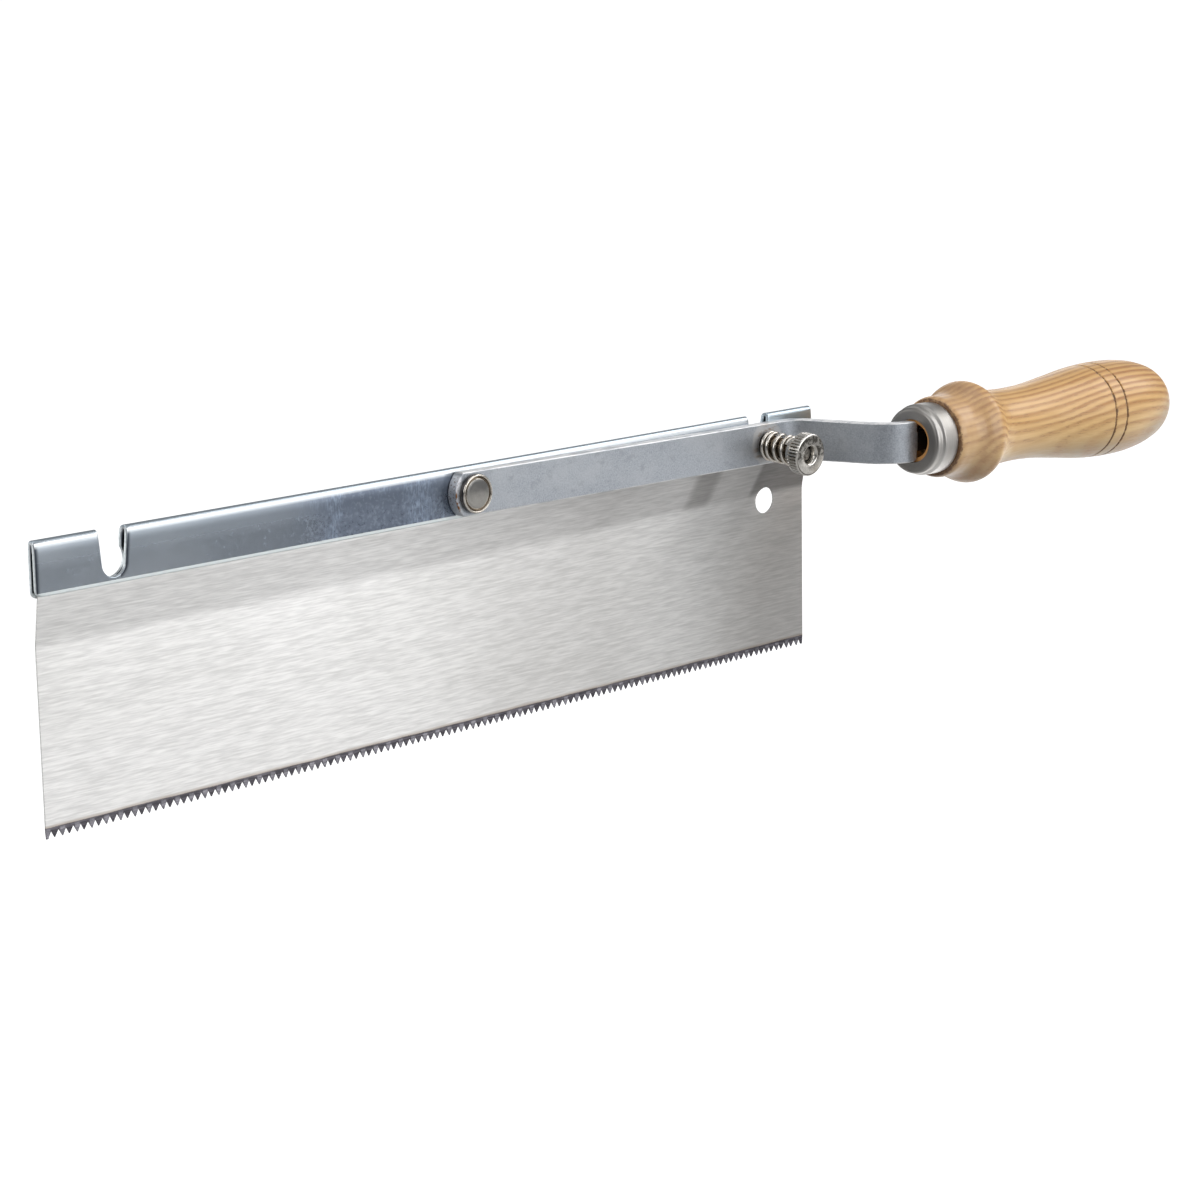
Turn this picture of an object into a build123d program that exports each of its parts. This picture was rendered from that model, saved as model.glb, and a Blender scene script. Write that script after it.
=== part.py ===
from build123d import *
from math import cos, radians, sin, tan
import os

# Reversible offset back saw: a cranked fine-tooth blade in a folded steel back, with a handle
# arm that swings over the back about a rivet and locks at either end with a sprung stud.
#
# Frame: +X from the toe towards the handle, +Z up, the knob side faces -Y.
# Origin: centre of the hanging hole in the blade, on the middle of the lower blade's thickness.

os.makedirs("parts", exist_ok=True)

# ---- driving dimensions, in millimetres and degrees ----

# blade
tooth_pitch = 2.0
tooth_gaps = 125
tooth_depth = 1.8
tooth_tip_land = 0.12
blade_thickness = 0.5
blade_end_margin = 0.45
blade_taper = 0.4
hanging_hole_radius = 3.5
hole_to_first_tooth = 235.12
hole_above_toe_tooth = 43.6
bend_above_teeth = 43.6

# folded back
back_length = 252.8
back_height = 12.5
far_wall_drop = 0.6
sheet = 1.0
back_gap = 0.6
blade_to_back_offset = 1.7
back_corner_radius = 1.6
sheet_edge_radius = 0.3
blade_seat_depth = 9.0
blade_seat_gap = 0.1
blade_slot_half_width = 5.5

# notches in the back
notch_radius_from_pivot = 105.4
notch_floor_half_width = 3.2
notch_top_half_width = 3.8
notch_depth = 11.0
notch_lip_radius = 0.8
keyhole_radius = 4.0
keyhole_neck_half_width = 3.25
keyhole_floor_depth = 11.25

# pivot and arm
pivot_from_hole = 110.6
rivet_head_radius = 4.85
rivet_head_height = 1.5
rivet_rim_width = 0.9
rivet_shank_radius = 2.5
running_gap = 0.08
face_gap = 0.1
arm_thickness = 3.0
arm_height = 10.8
arm_droop = 0.60
arm_end_overhang = 6.0
arm_end_radius = 6.9
arm_edge_radius = 0.3

# crank
crank_start = 111.4
crank_angle = 69.1
crank_run = 15.56
first_bend_radius = 8.2
second_bend_radius = 9.75
shoulder_at = 135.5
shoulder_corner_radius = 1.5
tang_width = 5.6
tang_thickness = 2.6
tang_length = 46.0
tang_point = 8.0
tang_tip_width = 2.2

# lock: it hangs a little in its loose hole, so its axis slopes down towards the knob
lock_tilt = 4.0
stud_radius = 2.9
stud_hole_radius = 3.15
stud_thread_radius = 2.4
stud_head_radius = 3.6
stud_head_height = 1.6
spring_length = 9.3
spring_outer_radius = 4.05
wire_radius = 0.45
spring_turns = 4.25
nut_hub_radius = 4.1
nut_hub_length = 2.0
nut_rim_radius = 5.6
nut_rim_length = 3.4
knurl_count = 40
knurl_depth = 0.4
nut_chamfer = 0.8
stud_end_recess = 1.7

# ferrule and handle
ferrule_from_pivot = 135.1
ferrule_length = 8.0
ferrule_wall = 0.8
ferrule_mouth_radius = 5.8
ferrule_front_radius = 8.9
ferrule_rear_radius = 9.5
ferrule_step_at = 1.8
ferrule_step_length = 1.0
cutter_overrun = 1.0
tang_bore_radius = 3.15
tang_bore_length = 50.0
mouth_bore_radius = 4.6
mouth_bore_length = 11.0
butt_radius = 8.07
ring_groove_radius = 0.3

# ---- derived places ----

back_thickness = 2 * sheet + back_gap
back_mid_y = -blade_to_back_offset
near_wall_y = back_mid_y - back_thickness / 2
far_wall_y = back_mid_y + back_thickness / 2

pivot_x = -pivot_from_hole
lip_z = 11.4
back_top_z = lip_z + back_height
pivot_z = lip_z + back_height / 2
back_toe_x = pivot_x - back_length / 2

arm_far_y = near_wall_y - face_gap
arm_mid_y = arm_far_y - arm_thickness / 2
arm_near_y = arm_far_y - arm_thickness
crank_drop = crank_run * sin(radians(crank_angle)) + (first_bend_radius + second_bend_radius) * (
    1 - cos(radians(crank_angle))
)
handle_y = arm_mid_y - crank_drop

arm_direction = Vector(cos(radians(arm_droop)), 0, -sin(radians(arm_droop)))
arm_up = Vector(sin(radians(arm_droop)), 0, cos(radians(arm_droop)))
tooth_direction = Vector(cos(radians(blade_taper)), 0, sin(radians(blade_taper)))
toward_knob_side = Vector(0, -1, 0)
lock_out = Vector(0, -cos(radians(lock_tilt)), -sin(radians(lock_tilt)))
stud_head_centre_y = near_wall_y + sheet + face_gap / 2 + stud_head_height / 2
stud_head_centre_y += stud_head_radius * sin(radians(lock_tilt))


def arm_point(along, y):
    """A point on the arm's centre line, at a distance from the pivot and a given Y."""
    pivot = Vector(pivot_x, 0, pivot_z)
    return pivot + arm_direction * along + Vector(0, y, 0)


def arm_plan(along, y):
    """A plane seen from above: x along the arm, y towards +Y, normal up."""
    return Plane(origin=arm_point(along, y), x_dir=arm_direction, z_dir=arm_up)


def arm_face(along, y):
    """A plane facing -Y: x along the arm, y up."""
    return Plane(origin=arm_point(along, y), x_dir=arm_direction, z_dir=toward_knob_side)


def lock_point(out):
    """A point on the lock's axis, at a distance from the middle of the stud's head."""
    return arm_point(notch_radius_from_pivot, stud_head_centre_y) + lock_out * out


def lock_face(out):
    """A plane across the lock's axis, facing the knob's end."""
    return Plane(origin=lock_point(out), x_dir=(1, 0, 0), z_dir=lock_out)


def back_face(x, z, y):
    """A plane facing -Y and square to the back: x along the back, y up."""
    return Plane(origin=(x, y, z), x_dir=(1, 0, 0), z_dir=(0, -1, 0))


def finish(part, name):
    """Label one sub-part and write it to its own file."""
    part.label = name
    export_step(part, f"parts/{name}.step")


# ---- blade: one strip, flat below, leaning in to the back above the bend ----

first_tooth = Vector(-hole_to_first_tooth, 0, -hole_above_toe_tooth)
tooth_run = tooth_pitch * tooth_gaps


def blade_section(along):
    """The blade's outline across its length, at a distance from the first tooth."""
    half = blade_thickness / 2
    seat_height = hole_above_toe_tooth + lip_z - far_wall_drop - blade_seat_gap
    vertical_from = seat_height - along * tan(radians(blade_taper))
    top = vertical_from + blade_seat_depth
    inner, outer = back_mid_y - half, back_mid_y + half
    plane = Plane(
        origin=first_tooth + tooth_direction * along, x_dir=(0, 1, 0), z_dir=tooth_direction
    )
    with BuildSketch(plane) as section:
        with BuildLine():
            Polyline(
                (-half, 0),
                (half, 0),
                (half, bend_above_teeth),
                (outer, vertical_from),
                (outer, top),
                (inner, top),
                (inner, vertical_from),
                (-half, bend_above_teeth),
                close=True,
            )
        make_face()
    return section.sketch


tooth_plane = Plane(origin=first_tooth, x_dir=tooth_direction, z_dir=toward_knob_side)
gullet_half = tooth_pitch / 2 - tooth_tip_land / 2

with BuildPart() as blade:
    loft(
        sections=[blade_section(-blade_end_margin), blade_section(tooth_run + blade_end_margin)],
        ruled=True,
    )
    with BuildSketch(tooth_plane):
        with Locations([((gap + 0.5) * tooth_pitch, 0) for gap in range(tooth_gaps)]):
            with BuildLine():
                Polyline(
                    (-gullet_half, -cutter_overrun),
                    (gullet_half, -cutter_overrun),
                    (gullet_half, 0),
                    (0, tooth_depth),
                    (-gullet_half, 0),
                    close=True,
                )
            make_face()
    extrude(amount=blade_thickness, both=True, mode=Mode.SUBTRACT)
    with BuildSketch(back_face(0, 0, 0)):
        Circle(hanging_hole_radius)
    extrude(amount=blade_thickness * 2, both=True, mode=Mode.SUBTRACT)
    with BuildSketch(back_face(pivot_x, pivot_z, back_mid_y)):
        Circle(rivet_shank_radius)
        with Locations((-notch_radius_from_pivot, 0), (notch_radius_from_pivot, 0)):
            Rectangle(2 * blade_slot_half_width, back_height - 2 * far_wall_drop)
    extrude(amount=blade_thickness, both=True, mode=Mode.SUBTRACT)
finish(blade.part, "blade")

# ---- back: one sheet folded over the blade's top edge, notched near both ends ----

def near_notch():
    """The tapered U in the near wall, with its opening at the top and rounded lips."""
    top, lip = notch_top_half_width, notch_lip_radius
    height = back_height / 2
    floor_centre = height - notch_depth + notch_floor_half_width
    with BuildSketch(mode=Mode.PRIVATE) as notch:
        with BuildLine():
            Polyline(
                (-top - lip, height),
                (-top - lip, height + cutter_overrun),
                (top + lip, height + cutter_overrun),
                (top + lip, height),
            )
            RadiusArc((top + lip, height), (top, height - lip), -lip)
            Line((top, height - lip), (notch_floor_half_width, floor_centre))
            ThreePointArc(
                (notch_floor_half_width, floor_centre),
                (0, height - notch_depth),
                (-notch_floor_half_width, floor_centre),
            )
            Line((-notch_floor_half_width, floor_centre), (-top, height - lip))
            RadiusArc((-top, height - lip), (-top - lip, height), -lip)
        make_face()
    return notch.sketch


def far_keyhole():
    """The keyhole in the far wall: a neck from the top into a round seat for the stud's head."""
    height = back_height / 2
    seat_centre = height - keyhole_floor_depth + keyhole_radius
    with BuildSketch(mode=Mode.PRIVATE) as keyhole:
        with Locations((0, seat_centre)):
            Circle(keyhole_radius)
        with Locations((0, (seat_centre + height + cutter_overrun) / 2)):
            Rectangle(2 * keyhole_neck_half_width, height + cutter_overrun - seat_centre)
    return keyhole.sketch


def wall_corners(bottom):
    """What is cut away to round the two lower corners of a wall."""
    r = back_corner_radius
    half = back_length / 2
    with BuildSketch(mode=Mode.PRIVATE) as corners:
        with Locations((-half + r / 2, bottom + r / 2), (half - r / 2, bottom + r / 2)):
            Rectangle(r, r)
        with Locations((-half + r, bottom + r), (half - r, bottom + r)):
            Circle(r, mode=Mode.SUBTRACT)
    return corners.sketch


with BuildPart() as back:
    section_plane = Plane(origin=(back_toe_x, 0, 0), x_dir=(0, 1, 0), z_dir=(1, 0, 0))
    outer_fold, inner_fold = back_thickness / 2, back_gap / 2
    fold_z = back_top_z - outer_fold
    near_inner_y, far_inner_y = near_wall_y + sheet, far_wall_y - sheet
    far_lip_z = lip_z - far_wall_drop
    with BuildSketch(section_plane):
        with BuildLine():
            Line((near_wall_y, lip_z + sheet_edge_radius), (near_wall_y, fold_z))
            ThreePointArc((near_wall_y, fold_z), (back_mid_y, back_top_z), (far_wall_y, fold_z))
            Line((far_wall_y, fold_z), (far_wall_y, far_lip_z + sheet_edge_radius))
            RadiusArc(
                (far_wall_y, far_lip_z + sheet_edge_radius),
                (far_wall_y - sheet_edge_radius, far_lip_z),
                sheet_edge_radius,
            )
            Polyline(
                (far_wall_y - sheet_edge_radius, far_lip_z),
                (far_inner_y, far_lip_z),
                (far_inner_y, fold_z),
            )
            ThreePointArc(
                (far_inner_y, fold_z), (back_mid_y, fold_z + inner_fold), (near_inner_y, fold_z)
            )
            Polyline(
                (near_inner_y, fold_z),
                (near_inner_y, lip_z),
                (near_wall_y + sheet_edge_radius, lip_z),
            )
            RadiusArc(
                (near_wall_y + sheet_edge_radius, lip_z),
                (near_wall_y, lip_z + sheet_edge_radius),
                sheet_edge_radius,
            )
        make_face()
    extrude(amount=back_length)
    with BuildSketch(back_face(pivot_x, pivot_z, back_mid_y)):
        with Locations((-notch_radius_from_pivot, 0), (notch_radius_from_pivot, 0)):
            add(near_notch())
        add(wall_corners(-back_height / 2))
    extrude(amount=back_thickness, mode=Mode.SUBTRACT)
    with BuildSketch(back_face(pivot_x, pivot_z, back_mid_y)):
        with Locations((-notch_radius_from_pivot, 0), (notch_radius_from_pivot, 0)):
            add(far_keyhole())
        add(wall_corners(-back_height / 2 - far_wall_drop))
    extrude(amount=-back_thickness, mode=Mode.SUBTRACT)
    with BuildSketch(back_face(pivot_x, pivot_z, back_mid_y)):
        Circle(rivet_shank_radius)
    extrude(amount=back_thickness, both=True, mode=Mode.SUBTRACT)
finish(back.part, "back")


# ---- pivot rivet: dished head on the arm, shank through arm, back and blade, low tail ----

rivet_head_y = arm_near_y - face_gap
tail_height = 0.6
tail_radius = 4.2
rivet_rim_inner = rivet_head_radius - rivet_rim_width
dish_depth = 0.55
dish_slope = 0.4
rivet_edge_round = 0.5
tail_dome_radius = (tail_radius**2 + tail_height**2) / (2 * tail_height)

with BuildPart() as pivot_rivet:
    rivet_plane = Plane(origin=(pivot_x, 0, pivot_z), x_dir=(1, 0, 0), z_dir=(0, 0, 1))
    head_top_y = rivet_head_y - rivet_head_height
    with BuildSketch(rivet_plane):
        with BuildLine():
            Polyline(
                (0, head_top_y + dish_depth),
                (rivet_rim_inner - dish_slope, head_top_y + dish_depth),
                (rivet_rim_inner, head_top_y),
                (rivet_head_radius - rivet_edge_round, head_top_y),
            )
            RadiusArc(
                (rivet_head_radius - rivet_edge_round, head_top_y),
                (rivet_head_radius, head_top_y + rivet_edge_round),
                -rivet_edge_round,
            )
            Polyline(
                (rivet_head_radius, head_top_y + rivet_edge_round),
                (rivet_head_radius, rivet_head_y),
                (rivet_shank_radius, rivet_head_y),
                (rivet_shank_radius, far_wall_y),
                (tail_radius, far_wall_y),
            )
            RadiusArc((tail_radius, far_wall_y), (0, far_wall_y + tail_height), -tail_dome_radius)
            Line((0, far_wall_y + tail_height), (0, head_top_y + dish_depth))
        make_face()
    revolve(axis=Axis((pivot_x, 0, pivot_z), (0, 1, 0)))
finish(pivot_rivet.part, "pivot_rivet")


# ---- arm: flat bar, rounded at the pivot, cranked to the knob side, ending in a tang ----

with BuildPart() as arm:
    with BuildLine(arm_plan(0, arm_mid_y)) as centre_line:
        bar = Line((0, 0), (crank_start, 0))
        first_bend = JernArc(bar @ 1, bar % 1, first_bend_radius, -crank_angle)
        run = PolarLine(first_bend @ 1, crank_run, direction=first_bend % 1)
        second_bend = JernArc(run @ 1, run % 1, second_bend_radius, crank_angle)
    with BuildSketch(Plane(origin=arm_point(0, arm_mid_y), x_dir=arm_up, z_dir=arm_direction)):
        Rectangle(arm_height, arm_thickness)
    sweep(path=centre_line.line)
    shoulder_start = crank_start + crank_run * cos(radians(crank_angle)) + (
        first_bend_radius + second_bend_radius
    ) * sin(radians(crank_angle))
    handle_far_face = handle_y + arm_thickness / 2
    with BuildSketch(arm_face(shoulder_start, handle_far_face)):
        with Locations(((shoulder_at - shoulder_start) / 2, 0)):
            Rectangle(shoulder_at - shoulder_start, arm_height)
    extrude(amount=arm_thickness)
    corner = arm_height / 2 - shoulder_corner_radius / 2
    arc_centre = arm_height / 2 - shoulder_corner_radius
    with BuildSketch(arm_face(shoulder_at - shoulder_corner_radius / 2, handle_far_face)):
        with Locations((0, corner), (0, -corner)):
            Rectangle(shoulder_corner_radius, shoulder_corner_radius)
        with Locations(
            (-shoulder_corner_radius / 2, arc_centre), (-shoulder_corner_radius / 2, -arc_centre)
        ):
            Circle(shoulder_corner_radius, mode=Mode.SUBTRACT)
    extrude(amount=arm_thickness, mode=Mode.SUBTRACT)
    with BuildSketch(arm_face(0, arm_far_y)):
        half = arm_height / 2
        corner_x = arm_end_radius - arm_end_overhang - (arm_end_radius**2 - half**2) ** 0.5
        with BuildLine():
            Polyline((corner_x, half), (0, half), (0, -half), (corner_x, -half))
            ThreePointArc((corner_x, -half), (-arm_end_overhang, 0), (corner_x, half))
        make_face()
    extrude(amount=arm_thickness)
    with BuildSketch(arm_face(shoulder_at, handle_y + tang_thickness / 2)):
        with BuildLine():
            Polyline(
                (0, tang_width / 2),
                (tang_length - tang_point, tang_width / 2),
                (tang_length, tang_tip_width / 2),
                (tang_length, -tang_tip_width / 2),
                (tang_length - tang_point, -tang_width / 2),
                (0, -tang_width / 2),
                close=True,
            )
        make_face()
    extrude(amount=tang_thickness)
    with BuildSketch(arm_face(0, arm_far_y)):
        Circle(rivet_shank_radius + running_gap)
        hole_drop = (stud_head_centre_y - arm_mid_y) * tan(radians(lock_tilt))
        with Locations((notch_radius_from_pivot, -hole_drop)):
            Circle(stud_hole_radius)
    extrude(amount=arm_thickness, mode=Mode.SUBTRACT)
finish(arm.part, "arm")


# ---- lock: a headed stud pushed through arm and notch, its return spring and knurled nut ----

spring_start = (stud_head_centre_y - arm_near_y) / cos(radians(lock_tilt))
spring_start += spring_outer_radius * sin(radians(lock_tilt)) + face_gap
nut_back = spring_start + spring_length + face_gap
nut_rim_start = nut_back + nut_hub_length
nut_face = nut_rim_start + nut_rim_length
stud_end = nut_face - stud_end_recess
stud_chamfer = 0.4

with BuildPart() as lock_stud:
    with BuildSketch(lock_face(-stud_head_height / 2)):
        Circle(stud_head_radius)
    extrude(amount=stud_head_height)
    chamfer(lock_stud.edges().group_by(Axis.Y)[-1], length=stud_chamfer)
    with BuildSketch(lock_face(stud_head_height / 2)):
        Circle(stud_radius)
    extrude(amount=nut_back - face_gap - stud_head_height / 2)
    with BuildSketch(lock_face(nut_back - face_gap)):
        Circle(stud_thread_radius)
    extrude(amount=stud_end - nut_back + face_gap)
    chamfer(lock_stud.edges().group_by(Axis.Y)[0], length=stud_chamfer)
finish(lock_stud.part, "lock_stud")

with BuildPart() as lock_spring:
    coil_radius = spring_outer_radius - wire_radius
    coil_height = spring_length - 2 * wire_radius
    with BuildLine() as coil:
        Helix(
            pitch=coil_height / spring_turns,
            height=coil_height,
            radius=coil_radius,
            center=lock_point(spring_start + wire_radius),
            direction=lock_out,
        )
    with BuildSketch(Plane(origin=coil.line @ 0, z_dir=coil.line % 0)):
        Circle(wire_radius)
    sweep(path=coil.line, is_frenet=True)
finish(lock_spring.part, "lock_spring")

with BuildPart() as knurled_nut:
    with BuildSketch(lock_face(nut_back)):
        Circle(nut_hub_radius)
    extrude(amount=nut_hub_length)
    with BuildSketch(lock_face(nut_rim_start)):
        Circle(nut_rim_radius)
        with PolarLocations(nut_rim_radius, knurl_count):
            Rectangle(2 * knurl_depth, 2 * knurl_depth, rotation=45, mode=Mode.SUBTRACT)
    extrude(amount=nut_rim_length)
    with BuildSketch(lock_face(nut_back)):
        Circle(stud_thread_radius + running_gap)
    extrude(amount=nut_hub_length + nut_rim_length, mode=Mode.SUBTRACT)
    mouth = knurled_nut.faces().sort_by(Axis.Y)[0].edges().filter_by(GeomType.CIRCLE)
    chamfer(mouth.sort_by(SortBy.RADIUS)[0], length=nut_chamfer)
finish(knurled_nut.part, "knurled_nut")


# ---- ferrule: a drawn steel cup over the front of the handle ----

axis_plane = arm_plan(ferrule_from_pivot, handle_y)
handle_axis = Axis(arm_point(ferrule_from_pivot, handle_y), arm_direction)
front_round = 0.9
spigot_gap = 0.05
spigot_front_radius = ferrule_front_radius - ferrule_wall
spigot_rear_radius = ferrule_rear_radius - ferrule_wall
step_end = ferrule_step_at + ferrule_step_length

with BuildPart() as ferrule:
    with BuildSketch(axis_plane):
        with BuildLine():
            Line((0, ferrule_mouth_radius), (0, ferrule_front_radius - front_round))
            RadiusArc(
                (0, ferrule_front_radius - front_round), (front_round, ferrule_front_radius), front_round
            )
            Line((front_round, ferrule_front_radius), (ferrule_step_at, ferrule_front_radius))
            Spline(
                (ferrule_step_at, ferrule_front_radius),
                (step_end, ferrule_rear_radius),
                tangents=((1, 0), (1, 0)),
            )
            Polyline(
                (step_end, ferrule_rear_radius),
                (ferrule_length, ferrule_rear_radius),
                (ferrule_length, spigot_rear_radius),
                (step_end, spigot_rear_radius),
                (step_end, spigot_front_radius),
                (ferrule_wall, spigot_front_radius),
                (ferrule_wall, ferrule_mouth_radius),
                (0, ferrule_mouth_radius),
            )
        make_face()
    revolve(axis=handle_axis)
finish(ferrule.part, "ferrule")


# ---- handle: turned ash, with a collar, a bead, a waist, a belly with two rings, and a butt ----

collar_radius = 10.5
collar_rear = (14.6, 10.95)
bead_flank = (18.5, 12.75)
bead_top = (21.8, 13.76)
bead_rear = (26.7, 11.4)
neck = (30.5, 10.4)
waist = (39.5, 9.98)
flank = (60.0, 11.55)
belly = (80.5, 13.28)
haunch = (97.0, 11.65)
butt_edge = (104.6, butt_radius)
butt_end = 106.9
collar_ends = ((1, 0.04), (1, 0.25))
bead_ends = ((1, 0.95), (0.55, -1))
body_ends = ((1, -0.42), (0, -1))
ring_places = (73.0, 77.8)
ring_place_radius = belly[1] - 0.25

with BuildPart() as handle:
    collar_at = ferrule_length + spigot_gap
    with BuildSketch(axis_plane):
        with BuildLine():
            Polyline(
                (butt_end, 0),
                (ferrule_wall + spigot_gap, 0),
                (ferrule_wall + spigot_gap, spigot_front_radius - spigot_gap),
                (step_end + spigot_gap, spigot_front_radius - spigot_gap),
                (step_end + spigot_gap, spigot_rear_radius - spigot_gap),
                (collar_at, spigot_rear_radius - spigot_gap),
                (collar_at, collar_radius),
            )
            Spline((collar_at, collar_radius), collar_rear, tangents=collar_ends)
            Spline(collar_rear, bead_flank, bead_top, bead_rear, tangents=bead_ends)
            Spline(
                bead_rear,
                neck,
                waist,
                flank,
                belly,
                haunch,
                butt_edge,
                (butt_end, 0),
                tangents=body_ends,
            )
        make_face()
    revolve(axis=handle_axis)
    with BuildSketch(axis_plane):
        with Locations(*[(place, belly[1]) for place in ring_places]):
            Circle(ring_groove_radius)
    revolve(axis=handle_axis, mode=Mode.SUBTRACT)
    bore_plane = Plane(
        origin=arm_point(ferrule_from_pivot, handle_y), x_dir=(0, 1, 0), z_dir=arm_direction
    )
    with BuildSketch(bore_plane):
        Circle(tang_bore_radius)
    extrude(amount=tang_bore_length, mode=Mode.SUBTRACT)
    with BuildSketch(bore_plane):
        Circle(mouth_bore_radius)
    extrude(amount=mouth_bore_length, mode=Mode.SUBTRACT)
finish(handle.part, "handle")
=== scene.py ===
from math import atan2, cos, exp, floor, hypot, pi, radians, sin, sqrt, tan

import bmesh
import bpy
from mathutils import Matrix, Vector
from mathutils.geometry import tessellate_polygon


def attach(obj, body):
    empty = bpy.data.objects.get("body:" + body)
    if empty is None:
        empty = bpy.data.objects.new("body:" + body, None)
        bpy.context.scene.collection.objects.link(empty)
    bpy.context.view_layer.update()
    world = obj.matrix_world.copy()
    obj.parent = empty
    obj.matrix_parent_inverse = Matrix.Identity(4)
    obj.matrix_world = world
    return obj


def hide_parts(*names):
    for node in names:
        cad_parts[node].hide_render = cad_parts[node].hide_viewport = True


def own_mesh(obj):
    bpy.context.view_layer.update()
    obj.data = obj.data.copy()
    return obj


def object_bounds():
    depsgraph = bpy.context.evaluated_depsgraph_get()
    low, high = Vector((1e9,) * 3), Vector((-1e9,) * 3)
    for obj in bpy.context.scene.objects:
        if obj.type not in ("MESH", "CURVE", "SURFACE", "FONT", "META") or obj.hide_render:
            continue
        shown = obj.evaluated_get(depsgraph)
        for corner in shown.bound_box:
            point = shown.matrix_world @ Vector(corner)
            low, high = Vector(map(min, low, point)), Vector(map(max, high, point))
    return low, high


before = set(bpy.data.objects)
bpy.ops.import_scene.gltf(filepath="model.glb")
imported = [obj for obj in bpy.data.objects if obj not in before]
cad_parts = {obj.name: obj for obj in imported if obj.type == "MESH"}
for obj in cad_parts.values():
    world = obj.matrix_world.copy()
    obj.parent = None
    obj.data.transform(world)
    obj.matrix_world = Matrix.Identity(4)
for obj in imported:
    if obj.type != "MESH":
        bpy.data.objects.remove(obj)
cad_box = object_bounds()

# The saw lies along X, toe at -X, handle at +X. Z is up and the knob side faces -Y.
# The origin is the centre of the hanging hole. Lengths are in millimetres until a mesh is written.
MM = 0.001
scene = bpy.context.scene

# ---- dimensions, as in the CAD model

PIVOT_X, PIVOT_Z = -110.6, 17.65
BACK_LENGTH, BACK_TOP, LIP_Z, FAR_DROP = 252.8, 23.9, 11.4, 0.6
BACK_MID_Y, SHEET, FOLD_MID = -1.7, 1.0, 0.8
NOTCH_REACH, NOTCH_RISE, NOTCH_HALF = 105.4, 1.5, 3.2
RINGS = (73.0, 77.8)
toe_x = PIVOT_X - BACK_LENGTH / 2

TOOTH_PITCH, TOOTH_GAPS, TOOTH_DEPTH = 2.0, 125, 1.8
BLADE_THICKNESS, BLADE_TAPER, END_MARGIN = 0.5, radians(0.4), 0.45
HOLE_RADIUS, FIRST_TOOTH = 3.5, (-235.12, -43.6)
BEND_HEIGHT, LEAN_TOP, SEAT = 43.6, 54.3, 9.0

ARM_DROOP, ARM_HEIGHT, ARM_THICKNESS = radians(0.60), 10.8, 3.0
ARM_MID_Y = -4.6
CRANK_START, CRANK_ANGLE, CRANK_RUN = 111.4, radians(69.1), 15.56
BEND_ONE, BEND_TWO = 8.2, 9.75
SHOULDER_AT, TANG_LENGTH = 135.5, 46.0
HANDLE_Y = ARM_MID_Y - CRANK_RUN * sin(CRANK_ANGLE) - (BEND_ONE + BEND_TWO) * (1 - cos(CRANK_ANGLE))
FERRULE_AT = 135.1
LOCK_TILT, HEAD_Y, STUD_HOLE = radians(4.0), -0.9, 3.15
SPRING_LENGTH, SPRING_RADIUS, GAP = 9.3, 4.05, 0.1
HUB, RIM, RECESS, THREAD_PITCH = 2.0, 3.4, 1.7, 0.5
SPRING_AT = (HEAD_Y - ARM_MID_Y + ARM_THICKNESS / 2) / cos(LOCK_TILT) + SPRING_RADIUS * sin(LOCK_TILT) + GAP
NUT_AT = SPRING_AT + SPRING_LENGTH + GAP

ALONG = Vector((cos(ARM_DROOP), 0, -sin(ARM_DROOP)))
UP = Vector((sin(ARM_DROOP), 0, cos(ARM_DROOP)))
TOWARD_KNOB = Vector((0, -1, 0))
# the lock hangs a little in its loose hole
LOCK_OUT = Vector((0, -cos(LOCK_TILT), -sin(LOCK_TILT)))
LOCK_UP = Vector((0, -sin(LOCK_TILT), cos(LOCK_TILT)))


def arm_point(along, y):
    return Vector((PIVOT_X, 0, PIVOT_Z)) + ALONG * along + Vector((0, y, 0))


def lock_point(out):
    return arm_point(NOTCH_REACH, HEAD_Y) + LOCK_OUT * out


# ---- mesh tools


def new_object(name, mesh):
    obj = bpy.data.objects.new(name, mesh)
    scene.collection.objects.link(obj)
    return obj


def finished(obj, material, sharp, weighted=True):
    """Smooth shading that keeps corners sharper than an angle, with flat faces kept flat."""
    obj.data.materials.append(material)
    obj.data.shade_smooth()
    obj.data.set_sharp_from_angle(angle=radians(sharp))
    if weighted:
        normals = obj.modifiers.new("flat faces", "WEIGHTED_NORMAL")
        normals.keep_sharp = True
    return obj


def mesh_from(name, points, faces):
    mesh = bpy.data.meshes.new(name)
    mesh.from_pydata([Vector(p) * MM for p in points], [], faces)
    work = bmesh.new()
    work.from_mesh(mesh)
    bmesh.ops.recalc_face_normals(work, faces=work.faces[:])
    work.to_mesh(mesh)
    work.free()
    return new_object(name, mesh)


def arc(centre, radius, start, end, steps):
    """Points on an arc, in degrees, both ends included."""
    return [
        (
            centre[0] + radius * cos(radians(start + (end - start) * i / steps)),
            centre[1] + radius * sin(radians(start + (end - start) * i / steps)),
        )
        for i in range(steps + 1)
    ]


def circle(centre, radius, steps):
    """A whole circle, with no point twice."""
    return arc(centre, radius, 0, 360 - 360 / steps, steps - 1)


MITRE_LIMIT = 0.45


def inset(loop, distance):
    """A closed loop moved to its left by a distance."""
    moved = []
    for i, (x, y) in enumerate(loop):
        (ax, ay), (bx, by) = loop[i - 1], loop[(i + 1) % len(loop)]
        ux, uy = x - ax, y - ay
        vx, vy = bx - x, by - y
        ul, vl = hypot(ux, uy), hypot(vx, vy)
        nx, ny = -uy / ul - vy / vl, ux / ul + vx / vl
        length = hypot(nx, ny)
        nx, ny = nx / length, ny / length
        spread = max(MITRE_LIMIT, nx * -uy / ul + ny * ux / ul)
        moved.append((x + nx * distance / spread, y + ny * distance / spread))
    return moved


def area(loop):
    return sum(a[0] * b[1] - b[0] * a[1] for a, b in zip(loop, loop[1:] + loop[:1])) / 2


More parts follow.
